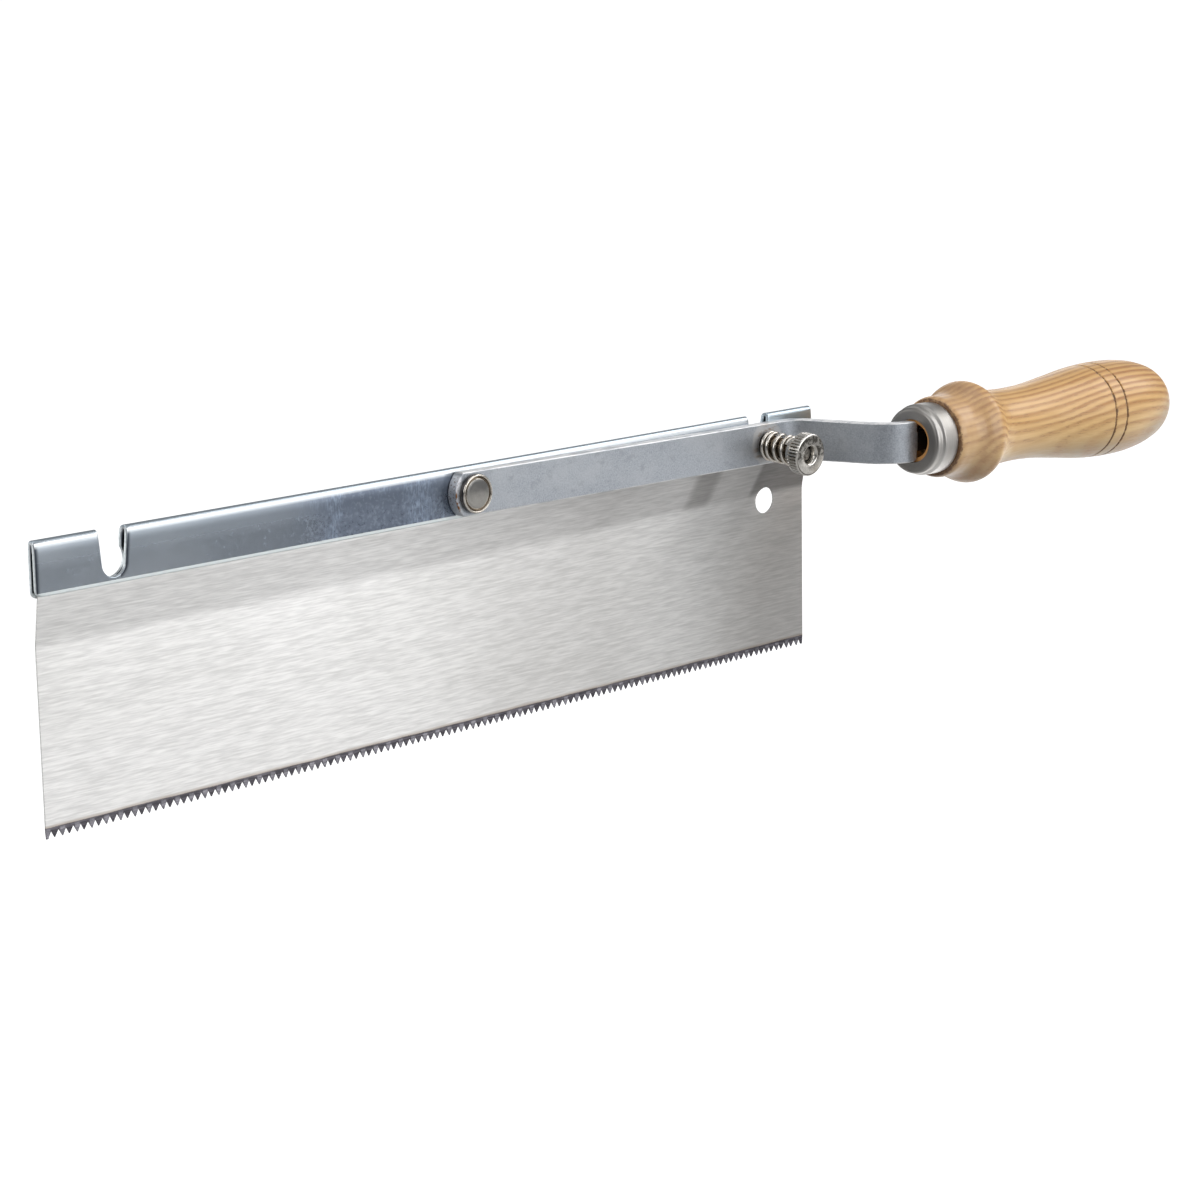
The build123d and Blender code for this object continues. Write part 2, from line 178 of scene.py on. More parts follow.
def plate(loops, thickness, edge, steps=3):
    """A flat sheet in (u, v), w through its thickness: an outline and its holes, rounded at every edge."""
    wound = [loop if (area(loop) > 0) == (i == 0) else loop[::-1] for i, loop in enumerate(loops)]
    points, faces = [], []
    half = thickness / 2
    profile = [
        (edge * (1 - sin(pi / 2 * i / steps)), half - edge * (1 - cos(pi / 2 * i / steps)))
        for i in range(steps + 1)
    ]
    profile += [(d, -w) for d, w in reversed(profile)]
    caps = []
    for loop in wound:
        rings = []
        for distance, w in profile:
            ring = inset(loop, distance)
            rings.append(list(range(len(points), len(points) + len(ring))))
            points += [(x, y, w) for x, y in ring]
        for upper, lower in zip(rings, rings[1:]):
            for i in range(len(loop)):
                j = (i + 1) % len(loop)
                faces.append((upper[i], lower[i], lower[j], upper[j]))
        caps.append((rings[0], rings[-1]))
    for side in (0, 1):
        ids = [i for cap in caps for i in cap[side]]
        outline = [[Vector(points[i]) for i in cap[side]] for cap in caps]
        for a, b, c in tessellate_polygon(outline):
            tri = [ids[a], ids[b], ids[c]]
            (ax, ay, _), (bx, by, _), (cx, cy, _) = (points[i] for i in tri)
            if ((bx - ax) * (cy - ay) - (cx - ax) * (by - ay) > 0) != (side == 0):
                tri.reverse()
            faces.append(tuple(tri))
    work = bmesh.new()
    verts = [work.verts.new(p) for p in points]
    made = set()
    for face in faces:
        if frozenset(face) not in made:
            made.add(frozenset(face))
            work.faces.new([verts[i] for i in face])
    return work


def cut(work, places):
    """Cut a mesh along lines in (u, v), each a point and a normal, so that it can bend there."""
    for point, normal in places:
        bmesh.ops.bisect_plane(
            work,
            geom=work.verts[:] + work.edges[:] + work.faces[:],
            plane_co=(point[0], point[1], 0),
            plane_no=(normal[0], normal[1], 0),
            dist=1e-5,
        )


def join_strips(work):
    """Join the flat faces between two cuts, so that each strip bends evenly from end to end."""
    work.normal_update()
    slanted = []
    for edge in work.edges:
        if len(edge.link_faces) == 2:
            run = edge.verts[0].co - edge.verts[1].co
            flat = edge.link_faces[0].normal.dot(edge.link_faces[1].normal) > 0.99999
            if flat and abs(run.x) > 1e-4 and abs(run.y) > 1e-4:
                slanted.append(edge)
    bmesh.ops.dissolve_edges(work, edges=slanted, use_verts=False)


def placed(name, work, place):
    """Write a worked mesh out, each point moved by a function of (u, v, w)."""
    for v in work.verts:
        v.co = Vector(place(*v.co)) * MM
    bmesh.ops.recalc_face_normals(work, faces=work.faces[:])
    if work.calc_volume(signed=True) < 0:
        bmesh.ops.reverse_faces(work, faces=work.faces[:])
    mesh = bpy.data.meshes.new(name)
    work.to_mesh(mesh)
    work.free()
    return new_object(name, mesh)


def through(points, per_span=12):
    """A smooth line through points: each is (x, r) or (x, r, 'corner')."""
    line = []
    spans = list(zip(points, points[1:]))
    for i, (a, b) in enumerate(spans):
        before = points[i - 1] if i and len(a) == 2 else None
        after = points[i + 2] if i + 2 < len(points) and len(b) == 2 else None
        chord = hypot(b[0] - a[0], b[1] - a[1])
        step = Vector((b[0] - a[0], b[1] - a[1]))

        def tangent(p, q, r):
            u, v = Vector((q[0] - p[0], q[1] - p[1])), Vector((r[0] - q[0], r[1] - q[1]))
            return (u / u.length * v.length + v / v.length * u.length) / (u.length + v.length) * chord

        ta = tangent(before, a, b) if before else step
        tb = tangent(a, b, after) if after else step
        for j in range(per_span):
            t = j / per_span
            h = (2 * t**3 - 3 * t**2 + 1, t**3 - 2 * t**2 + t, 3 * t**2 - 2 * t**3, t**3 - t**2)
            line.append(
                (
                    h[0] * a[0] + h[1] * ta.x + h[2] * b[0] + h[3] * tb.x,
                    h[0] * a[1] + h[1] * ta.y + h[2] * b[1] + h[3] * tb.y,
                )
            )
    line.append(tuple(points[-1][:2]))
    return line


def lathe(name, profile, origin, direction, up, columns, shape=None):
    """A turned piece: profile points (along, radius) from one pole to the other, or round to the start."""
    side = direction.cross(up)
    points, faces, rings = [], [], []
    for x, r in profile:
        if r < 1e-6:
            rings.append([len(points)] * columns)
            points.append(origin + direction * x)
            continue
        rings.append(list(range(len(points), len(points) + columns)))
        for k in range(columns):
            angle = 2 * pi * k / columns
            dx, rr = (0, r) if shape is None else shape(x, r, angle)
            points.append(origin + direction * (x + dx) + (up * cos(angle) + side * sin(angle)) * rr)
    pairs = list(zip(rings, rings[1:]))
    if profile[0][1] > 1e-6:
        pairs.append((rings[-1], rings[0]))
    for a, b in pairs:
        for k in range(columns):
            j = (k + 1) % columns
            face = []
            for i in (a[k], a[j], b[j], b[k]):
                if i not in face:
                    face.append(i)
            faces.append(face)
    return mesh_from(name, points, faces)


# ---- material tools


class Nodes:
    """One node tree, with short calls for the nodes that it is made of."""

    def __init__(self, tree, place):
        self.tree = tree
        self.place = self.node("TexCoord").outputs[place]

    def node(self, kind, **settings):
        made = self.tree.nodes.new("ShaderNode" + kind)
        for key, value in settings.items():
            setattr(made, key, value)
        return made

    def feed(self, socket, value):
        if isinstance(value, bpy.types.NodeSocket):
            self.tree.links.new(value, socket)
        elif socket.type == "RGBA" and len(value) == 3:
            socket.default_value = (*value, 1)
        else:
            socket.default_value = value

    def math(self, kind, a, b=0.0, c=0.5):
        made = self.node("Math", operation=kind)
        for socket, value in zip(made.inputs, (a, b, c)):
            self.feed(socket, value)
        return made.outputs[0]

    def times(self, a, b):
        return self.math("MULTIPLY", a, b)

    def plus(self, a, b):
        return self.math("ADD", a, b)

    def fma(self, a, b, c):
        """a times b, plus c."""
        return self.math("MULTIPLY_ADD", a, b, c)

    def most(self, a, b):
        return self.math("MAXIMUM", a, b)

    def size(self, a):
        return self.math("ABSOLUTE", a)

    def away(self, a, b):
        """The distance from the middle of two axes."""
        return self.math("SQRT", self.fma(a, a, self.times(b, b)))

    def moved(self, stretch=(1, 1, 1), shift=(0, 0, 0)):
        made = self.node("Mapping")
        self.feed(made.inputs["Vector"], self.place)
        made.inputs["Scale"].default_value = stretch
        made.inputs["Location"].default_value = shift
        return made.outputs[0]

    def noise(self, scale, stretch=(1, 1, 1), detail=3.0, rough=0.6, warp=0.0, shift=(0, 0, 0)):
        made = self.node("TexNoise")
        self.feed(made.inputs["Vector"], self.moved(stretch, shift))
        made.inputs["Scale"].default_value = scale
        made.inputs["Detail"].default_value = detail
        made.inputs["Roughness"].default_value = rough
        made.inputs["Distortion"].default_value = warp
        return made.outputs["Fac"]

    def axis(self, index, of=None):
        made = self.node("SeparateXYZ")
        self.feed(made.inputs[0], of or self.place)
        return made.outputs[index]

    def band(self, value, low, high, to_low=0.0, to_high=1.0):
        made = self.node("MapRange", interpolation_type="SMOOTHSTEP")
        for socket, number in zip(made.inputs[:5], (value, low, high, to_low, to_high)):
            self.feed(socket, number)
        return made.outputs[0]

    def fall(self, value, low, high):
        """A soft step down from 1 to 0."""
        return self.band(value, low, high, 1.0, 0.0)

    def between(self, value, a, b, c, d):
        """Rises from 0 to 1 from a to b, and falls back from c to d."""
        return self.times(self.band(value, a, b), self.fall(value, c, d))

    def mix(self, share, a, b, kind="MIX"):
        made = self.node("Mix", data_type="RGBA", blend_type=kind)
        self.feed(made.inputs[0], share)
        self.feed(made.inputs[6], a)
        self.feed(made.inputs[7], b)
        return made.outputs[2]

    def tinted(self, base, colour):
        return self.mix(1.0, base, colour, "MULTIPLY")

    def ramp(self, value, *stops):
        made = self.node("ValToRGB")
        self.feed(made.inputs[0], value)
        while len(made.color_ramp.elements) < len(stops):
            made.color_ramp.elements.new(0.5)
        for element, (place, colour) in zip(made.color_ramp.elements, stops):
            element.position = place
            element.color = (*colour, 1)
        return made.outputs[0]


class Paint(Nodes):
    """One procedural material."""

    def __init__(self, name, **surface):
        self.material = bpy.data.materials.new(name)
        self.material.use_nodes = True
        super().__init__(self.material.node_tree, "Object")
        self.shader = next(n for n in self.tree.nodes if n.type == "BSDF_PRINCIPLED")
        for socket, value in surface.items():
            self.put(socket.replace("_", " "), value)

    def put(self, socket, value):
        self.feed(self.shader.inputs[socket], value)

    def done(self, base, rough, normal=None):
        self.put("Base Color", base)
        self.put("Roughness", rough)
        if normal is not None:
            self.put("Normal", normal)
        return self.material

    def bump(self, height, depth, strength=1.0, over=None):
        made = self.node("Bump")
        made.inputs["Strength"].default_value = strength
        made.inputs["Distance"].default_value = depth * MM
        self.feed(made.inputs["Height"], height)
        if over is not None:
            self.feed(made.inputs["Normal"], over)
        return made.outputs[0]


# ---- camera, floor and light

EYE = Vector((-643.2, -583.25, 158.2)) * MM
YAW, PITCH, ROLL = radians(44.890), radians(12.036), radians(-0.743)
LENS, SENSOR = 99.01, 36.0

forward = Vector((sin(YAW) * cos(PITCH), cos(YAW) * cos(PITCH), -sin(PITCH)))
level = Vector((cos(YAW), -sin(YAW), 0))
above = level.cross(forward)
right = level * cos(ROLL) + above * sin(ROLL)
top = above * cos(ROLL) - level * sin(ROLL)
camera = bpy.data.objects.new("camera", bpy.data.cameras.new("camera"))
camera.data.lens, camera.data.sensor_width = LENS, SENSOR
camera.data.clip_start, camera.data.clip_end = 0.01, 200
camera.matrix_world = Matrix.Translation(EYE) @ Matrix((right, top, -forward)).transposed().to_4x4()
scene.collection.objects.link(camera)
scene.camera = camera
scene.view_settings.view_transform = "Standard"

FLOOR_Z, FLOOR_REACH = -0.34, 60.0
floor_mesh = bpy.data.meshes.new("floor")
floor_mesh.from_pydata(
    [(-FLOOR_REACH, -FLOOR_REACH, FLOOR_Z), (FLOOR_REACH, -FLOOR_REACH, FLOOR_Z),
     (FLOOR_REACH, FLOOR_REACH, FLOOR_Z), (-FLOOR_REACH, FLOOR_REACH, FLOOR_Z)],
    [], [(0, 1, 2, 3)],
)
floor_obj = new_object("floor", floor_mesh)
paper = Paint("floor_paper", Roughness=0.9)
paper.put("Base Color", (0.50, 0.50, 0.50))
paper.put("Emission Color", (1.0, 1.0, 1.0))
# the far side of the set has its own light, as a studio background has
behind = paper.plus(paper.axis(0), paper.axis(1))
paper.put("Emission Strength", paper.band(behind, 0.1, 0.7, 0.0, 0.86))
floor_mesh.materials.append(paper.material)

world = bpy.data.worlds.new("studio")
scene.world = world
world.use_nodes = True
backdrop = next(n for n in world.node_tree.nodes if n.type == "BACKGROUND")
sky = Nodes(world.node_tree, "Generated")
x, y, z = (sky.axis(i) for i in range(3))
low, high = ((grey, grey * 1.01, grey * 1.03) for grey in (0.11, 0.42))
sky.feed(backdrop.inputs[0], sky.ramp(z, (0.0, low), (0.75, high)))
# past the handle, the far horizon is brighter
glow = sky.times(sky.band(x, 0.58, 0.76, 0.0, 2.6), sky.band(y, 0.2, 0.5))
glow = sky.times(glow, sky.fall(z, 0.12, 0.4))
sky.feed(backdrop.inputs[1], sky.plus(glow, 1.0))


AIM = Vector((-0.05, 0, 0))


def softbox(name, azimuth, height, distance, width, tall, watts):
    """A soft light that faces the saw. Azimuth 0 is the knob side, and 90 is past the handle."""
    light = bpy.data.lights.new(name, "AREA")
    light.shape = "RECTANGLE"
    light.size, light.size_y, light.energy = width, tall, watts
    obj = bpy.data.objects.new(name, light)
    a, e = radians(azimuth), radians(height)
    place = Vector((sin(a) * cos(e), -cos(a) * cos(e), sin(e)))
    obj.rotation_mode = "QUATERNION"
    obj.rotation_quaternion = place.to_track_quat("Z", "Y")
    obj.location = AIM + place * distance
    obj.visible_camera = False
    scene.collection.objects.link(obj)


softbox("front_softbox", 20.7, 18, 1.7, 1.58, 1.24, 16)
softbox("right_top_softbox", 68, 34, 1.7, 0.70, 1.1, 7.2)
softbox("left_softbox", -88, 30, 1.9, 1.1, 1.2, 10)
softbox("rear_left_softbox", -142, 10, 2.0, 0.9, 1.0, 4.6)
softbox("rear_right_softbox", 130, 15, 2.0, 0.75, 0.8, 2.0)
softbox("overhead_softbox", 0, 86, 1.8, 1.3, 1.3, 5)

# ---- materials


def blade_steel():
    p = Paint("brushed_blade_steel", Metallic=1.0, Anisotropic=1.0)
    x, z = p.axis(0), p.axis(2)
    fine = p.noise(2600, (0.075, 1, 1), 2, 0.5)
    broad = p.noise(1500, (0.06, 1, 1), 2, 0.5, shift=(3, 0, 0))
    cloud = p.noise(14, (0.7, 1, 1.6), 2, 0.5)
    tone = p.fma(fine, 0.65, p.times(broad, 0.35))
    grain = p.ramp(tone, (0.36, (0.64, 0.634, 0.625)), (0.64, (0.815, 0.808, 0.797)))
    grain = p.mix(p.band(cloud, 0.35, 0.65), grain, p.tinted(grain, (0.94, 0.94, 0.935)))
    # height above the line of tooth tips, in millimetres
    rise = p.times(p.math("SUBTRACT", z, p.times(x, tan(BLADE_TAPER))), 1 / MM)
    height = p.plus(rise, -FIRST_TOOTH[1] + FIRST_TOOTH[0] * tan(BLADE_TAPER))
    # painted shade: two dark patches above the bend, under the arm's crank, and a fainter band from there to
    # the heel, where the arm and knob shade the blade
    slant = p.fma(z, -0.5, x)
    far_one = p.between(slant, -0.0360, -0.0300, -0.0255, -0.0195)
    arm_shade = p.most(p.times(far_one, 0.85), p.band(slant, -0.0092, -0.0060))
    arm_shade = p.most(arm_shade, p.band(x, -0.09, -0.04, 0.0, 0.36))
    arm_shade = p.times(arm_shade, p.band(height, BEND_HEIGHT - 0.8, BEND_HEIGHT + 1.4))
    grain = p.mix(arm_shade, grain, p.tinted(grain, (0.46, 0.452, 0.448)))
    wander = p.fma(p.noise(60, (1, 0, 0), rough=0.5), 0.6, height)
    hard = p.fall(wander, 2.65, 3.0)
    tempered = p.between(wander, 2.6, 2.9, 2.95, 3.6)
    # painted highlight: every other tooth is painted brighter, for the alternate tilt of the set teeth
    run = p.fma(x, 1 / MM / cos(BLADE_TAPER), -FIRST_TOOTH[0] + TOOTH_PITCH / 2)
    turn = p.math("FRACT", p.times(run, 0.5 / TOOTH_PITCH))
    bright = p.between(turn, 0.05, 0.12, 0.36, 0.46)
    bright = p.times(bright, p.band(height, 1.9, 2.3, 1.0, 0.15))
    speckle = p.band(fine, 0.4, 0.65)
    steel = p.mix(speckle, (0.075, 0.07, 0.085), (0.15, 0.14, 0.165))
    lit_tooth = p.mix(speckle, (0.19, 0.184, 0.21), (0.31, 0.30, 0.335))
    dark = p.mix(bright, steel, lit_tooth)
    # painted shade: darker in a band along the middle, and most towards the heel, where the blade reflects
    # less light
    shaded_grain = p.tinted(grain, (0.86, 0.857, 0.855))
    grain = p.mix(p.between(x, -0.135, -0.085, -0.065, -0.038), grain, shaded_grain)
    grain = p.mix(p.band(x, -0.032, 0.002), grain, p.tinted(grain, (0.72, 0.712, 0.705)))
    colour = p.mix(p.times(hard, 0.95), grain, dark)
    colour = p.mix(p.times(tempered, 0.5), colour, (0.30, 0.22, 0.15))
    direction = p.node("CombineXYZ")
    direction.inputs[2].default_value = 1
    p.put("Tangent", direction.outputs[0])
    return p.done(colour, p.fma(hard, -0.09, p.band(tone, 0.3, 0.7, 0.29, 0.33)))


def plated_zinc():
    p = Paint("bright_zinc_plate", Metallic=1.0)
    x, z = p.axis(0), p.axis(2)
    mottle = p.noise(1100)
    broad = p.noise(60, (0.6, 1, 1.4), rough=0.55)
    fine = p.noise(1500, (1, 1, 0.12), 2)
    scuffed = p.between(x, -0.168, -0.150, -0.124, -0.108)
    base = p.ramp(broad, (0.3, (0.325, 0.365, 0.41)), (0.7, (0.385, 0.425, 0.47)))
    darker = p.times(p.band(x, -0.205, -0.150), p.band(x, -0.05, 0.005, 1.0, 0.4))
    base = p.mix(darker, base, p.tinted(base, (0.72, 0.74, 0.78)))
    base = p.mix(p.times(scuffed, 0.6), base, (0.12, 0.15, 0.215))
    pale = p.mix(p.band(mottle, 0.50, 0.68), base, (0.33, 0.385, 0.46))
    base = p.mix(p.fma(scuffed, 0.24, 0.13), base, pale)
    wiped = p.noise(2000, (1, 1, 0.25), 4, 0.65, shift=(2, 0, 3))
    patch = p.noise(130, (1, 1, 0.7), shift=(1, 0, 6))
    stroked = p.between(x, -0.132, -0.127, -0.124, -0.119)
    wiped = p.times(p.band(wiped, 0.42, 0.60), p.most(stroked, p.band(patch, 0.52, 0.64)))
    base = p.mix(p.times(p.times(wiped, scuffed), 0.5), base, (0.38, 0.47, 0.61))
    # painted reflection: dark stripes just inside the toe end and round its notch, where the rounded sheared
    # edges reflect the dark surroundings
    inward = p.fma(x, 1 / MM, -toe_x)
    u = p.fma(x, 1 / MM, -(PIVOT_X - NOTCH_REACH))
    v = p.fma(z, 1 / MM, -(LIP_Z + NOTCH_RISE + NOTCH_HALF))
    flare = p.times(p.most(v, 0.0), -0.115)
    beside = p.plus(p.plus(p.away(u, p.math("MINIMUM", v, 0.0)), flare), -NOTCH_HALF)
    beside = p.most(beside, p.band(u, 0.5, 2.0, 9.0, 0.0))
    for distance, far in ((inward, 1.30), (beside, 1.20)):
        stripe = p.between(distance, 0.08, 0.22, 0.22, far)
        base = p.mix(p.times(stripe, 0.97), base, (0.035, 0.042, 0.055))
    # painted highlight: the sheared lower edge of the near wall is paler, where its rounded edge catches the
    # light; it is also duller
    down = p.fma(z, -1 / MM, BACK_TOP)
    lip = BACK_TOP - LIP_Z
    skirt = p.band(down, lip - 0.95, lip - 0.75)
    base = p.mix(p.times(skirt, 0.9), base, (0.74, 0.79, 0.79))
    # the cut faces show the pale metal under the plating
    facing = p.node("NewGeometry").outputs["Normal"]
    edge_on = p.times(p.fall(p.size(p.axis(1, facing)), 0.25, 0.5), p.band(down, 4.0, 4.5))
    edge_on = p.most(edge_on, p.band(p.size(p.axis(0, facing)), 0.7, 0.85))
    base = p.mix(p.times(edge_on, p.band(mottle, 0.3, 0.6, 0.55, 1.0)), base, (0.80, 0.85, 0.86))
    # the fold is rubbed bright and smooth
    rubbed = p.fall(down, 1.1, 2.0)
    base = p.mix(p.times(rubbed, 0.8), base, (0.66, 0.69, 0.71))
    # painted reflection: the heel end piece is a dimmer grey-blue, so that the fold's highlight there is
    # softer
    base = p.mix(p.band(x, -0.010, -0.0085, 0.0, 0.8), base, (0.43, 0.51, 0.57))
    # painted reflection: a darker grey-blue line along the crest of the fold
    base = p.mix(p.band(down, 0.25, 0.75, 0.9, 0.0), base, (0.36, 0.42, 0.47))
    calm = p.band(down, 4.5, 7.5)
    rough = p.band(p.fma(scuffed, 0.35, mottle), 0.35, 1.0, 0.18, 0.34)
    rough = p.fma(calm, p.plus(rough, -0.28), 0.28)
    worn = p.most(p.times(skirt, 0.5), p.times(edge_on, 0.42))
    dents = p.bump(p.times(broad, calm), 0.05, 0.2)
    return p.done(base, p.most(rough, worn), p.bump(p.times(fine, calm), 0.006, 0.12, over=dents))


def dull_zinc():
    p = Paint("dull_zinc_bar", Metallic=0.85)
    local = p.moved(shift=(-PIVOT_X * MM, 0, -PIVOT_Z * MM))
    x, y = p.axis(0, local), p.axis(1, local)
    z = p.fma(x, tan(ARM_DROOP), p.axis(2, local))
    grit = p.noise(2600, detail=2)
    cloud = p.noise(120, (0.5, 1, 1), 4)
    blotch = p.noise(420, (0.8, 1, 1), shift=(5, 0, 1))
    base = p.ramp(grit, (0.30, (0.29, 0.315, 0.35)), (0.70, (0.47, 0.495, 0.53)))
    base = p.mix(p.band(cloud, 0.42, 0.72, 0.0, 0.5), base, (0.50, 0.52, 0.545))
    base = p.mix(p.band(blotch, 0.55, 0.72, 0.0, 0.35), base, (0.24, 0.255, 0.28))
    # bare bright metal where the rolled edges rub
    rubbed = p.band(p.size(z), 0.00500, 0.00528)
    worn = p.band(p.noise(500, (0.2, 1, 1)), 0.36, 0.56, 0.35, 1.0)
    base = p.mix(p.times(p.times(rubbed, worn), 0.9), base, (0.86, 0.855, 0.85))
    # a pale ring where the spring bears, with a brown smear above it
    edge = p.fma(p.noise(420, rough=0.5), 0.0022, p.away(p.plus(x, -NOTCH_REACH * MM), z))
    front = p.fall(y, -0.0058, -0.0055)
    ring = p.times(p.fall(edge, 0.0066, 0.0076), front)
    base = p.mix(p.times(ring, 0.5), base, (0.60, 0.59, 0.575))
    smear = p.band(p.noise(600, (0.4, 1, 1.3), rough=0.7, shift=(1, 2, 3)), 0.52, 0.64)
    stain = p.times(p.times(smear, p.fall(edge, 0.0050, 0.0076)), front)
    base = p.mix(p.times(stain, 0.6), base, (0.26, 0.17, 0.10))
    # rust where the bar was cut at the pivot end
    cut_end = p.fall(x, -0.0052, -0.0036)
    # the cut end is pale bare metal, painted paler towards its top: a painted highlight where the light falls
    # from above
    pale_end = p.times(p.fall(x, -0.0046, -0.0038), p.band(z, -0.0035, 0.0035, 0.35, 1.0))
    base = p.mix(p.times(pale_end, p.band(blotch, 0.35, 0.55, 0.6, 1.0)), base, (0.82, 0.84, 0.88))
    rust = p.times(cut_end, p.band(p.noise(2300, (1, 0.6, 1), 4, 0.7), 0.55, 0.64))
    base = p.mix(p.times(rust, 0.9), base, (0.13, 0.055, 0.022))
    arris = p.away(p.plus(x, -(END_RADIUS - OVERHANG) * MM), z)
    arris = p.fall(p.size(p.plus(arris, -(END_RADIUS - 0.15) * MM)), 0.00016, 0.00034)
    arris = p.times(arris, p.band(y, -0.00580, -0.00595))
    arris = p.times(arris, p.times(cut_end, p.band(z, 0.0, 0.0015, 1.0, 0.1)))
    flaky = p.band(p.noise(900, rough=0.7, shift=(3, 3, 3)), 0.42, 0.52)
    base = p.mix(p.times(arris, flaky), base, (0.20, 0.085, 0.030))
    # painted shade: the part inside the handle is dark, deep in its mouth
    base = p.mix(p.band(x, 0.13545, 0.1358), base, (0.035, 0.03, 0.028))
    return p.done(base, p.band(grit, 0.2, 0.8, 0.40, 0.56),
                  p.bump(grit, 0.02, 0.3, over=p.bump(cloud, 0.1, 0.15)))


def spring_nickel():
    p = Paint("spring_steel", Metallic=1.0)
    fine = p.noise(1800)
    base = p.mix(p.band(fine, 0.35, 0.7), (0.64448, 0.61056, 0.55968), (0.76, 0.72, 0.66))
    base = p.mix(p.band(p.noise(260), 0.52, 0.72, 0.0, 0.6), base, (0.4712, 0.3744, 0.2772))
    return p.done(base, p.band(fine, 0.3, 0.7, 0.1408, 0.1792), p.bump(fine, 0.02, 0.1))


def pressed_rivet():
    """A nickel-plated head: bright pressed rims round a darker, spun dish."""
    p = Paint("pressed_rivet", Metallic=1.0)
    local = p.moved(shift=(-PIVOT_X * MM, 0, -PIVOT_Z * MM))
    dz = p.axis(2, local)
    away = p.away(p.axis(0, local), dz)
    fine = p.noise(2200)
    spun = p.math("FRACT", p.fma(away, 5200, p.times(fine, 0.8)))
    dish = p.mix(p.band(spun, 0.2, 0.8), (0.30, 0.29, 0.27), (0.42, 0.405, 0.38))
    # the light catches the spun dish unevenly, more towards its foot
    cloudy = p.noise(330, detail=2, rough=0.5, shift=(0, 0, 2))
    foot = p.band(p.fma(cloudy, 0.005, dz), 0.0005, 0.0048, 0.0, 0.85)
    dish = p.mix(foot, dish, (0.10, 0.10, 0.10))
    rim = p.mix(p.band(fine, 0.35, 0.7), (0.56, 0.52, 0.465), (0.74, 0.70, 0.64))
    groove = p.size(p.plus(away, -0.00398))
    rim = p.mix(p.band(groove, 0.00010, 0.00034, 0.85, 0.0), rim, (0.12, 0.085, 0.05))
    # painted shade: the side of the head, outside the outer rim, is darker
    rim = p.mix(p.band(away, 0.00474, 0.00482), rim, (0.16, 0.15, 0.145))
    inner = p.band(away, 0.0035, 0.0037)
    return p.done(p.mix(inner, dish, rim), p.band(inner, 0.0, 1.0, 0.34, 0.17), p.bump(fine, 0.01, 0.1))


def lock_places(p):
    """How far a point is out along the lock's axis, from its head, and how far from that axis."""
    head = lock_point(0) * MM
    local = p.moved(shift=(-head.x, -head.y, -head.z))
    y = p.axis(1, local)
    v = p.fma(y, -tan(LOCK_TILT), p.axis(2, local))
    return p.times(y, -1 / MM), p.away(p.axis(0, local), v)


def threaded_nickel():
    """The stud: shiny along its length, and rougher on the end inside the nut, where painted shade and dirt
    make it dark.
    """
    p = Paint("stud_nickel", Metallic=1.0)
    out, away = lock_places(p)
    fine = p.noise(1800)
    base = p.mix(p.band(fine, 0.35, 0.7), (0.16, 0.13, 0.10), (0.36, 0.31, 0.25))
    # painted shade and dirt: the end inside the nut is dark
    tip = p.band(out, NUT_AT + HUB + 0.7, NUT_AT + HUB + 0.9)
    dirt_and_shade = p.mix(p.band(away, 0.0008, 0.0021), (0.26, 0.245, 0.22), (0.05, 0.045, 0.04))
    dirt_and_shade = p.mix(p.band(p.noise(1100), 0.45, 0.6), dirt_and_shade, (0.09, 0.08, 0.07))
    return p.done(p.mix(tip, base, dirt_and_shade), p.fma(tip, 0.12, p.band(fine, 0.3, 0.7, 0.15, 0.27)),
                  p.bump(fine, 0.02, 0.2))


def knurled_nickel():
    """Worn nickel, with dirt in the knurling and scratches on the face."""
    p = Paint("knurled_nickel", Metallic=1.0)
    out, away = lock_places(p)
    fine = p.noise(1900)
    scratch = p.band(p.noise(1400, (1, 1, 0.18), rough=0.7, warp=1.5), 0.56, 0.66)
    base = p.mix(p.band(fine, 0.35, 0.7), (0.56, 0.535, 0.495), (0.72, 0.695, 0.65))
    brown = p.band(p.noise(300), 0.52, 0.70, 0.0, 0.45)
    base = p.mix(brown, base, (0.30, 0.25, 0.19))
    end = NUT_AT + HUB + RIM
    face = p.band(out, end - 0.25, end - 0.05)
    flat = p.times(face, p.band(away, 0.0026, 0.0029))
    handled = p.band(p.noise(700, detail=4, rough=0.7, warp=0.6), 0.43, 0.58)
    worn = p.mix(handled, (0.05, 0.046, 0.04), (0.34, 0.325, 0.30))
    base = p.mix(p.times(flat, 0.92), base, worn)
    base = p.mix(p.times(scratch, 0.4), base, (0.66, 0.64, 0.60))
    base = p.mix(p.times(flat, p.band(away, 0.00508, 0.00525, 0.0, 0.8)), base, (0.80, 0.78, 0.74))
    deep = p.times(p.fall(away, 0.00520, 0.00540), p.band(away, 0.0050, 0.0051))
    rim = p.times(p.math("SUBTRACT", 1.0, face), p.band(out, NUT_AT + HUB + 0.10, NUT_AT + HUB + 0.25))
    base = p.mix(p.times(p.times(deep, rim), 0.85), base, (0.05, 0.043, 0.035))
    return p.done(base, p.band(fine, 0.3, 0.7, 0.15, 0.24), p.bump(p.fma(scratch, -1.5, fine), 0.015, 0.2))


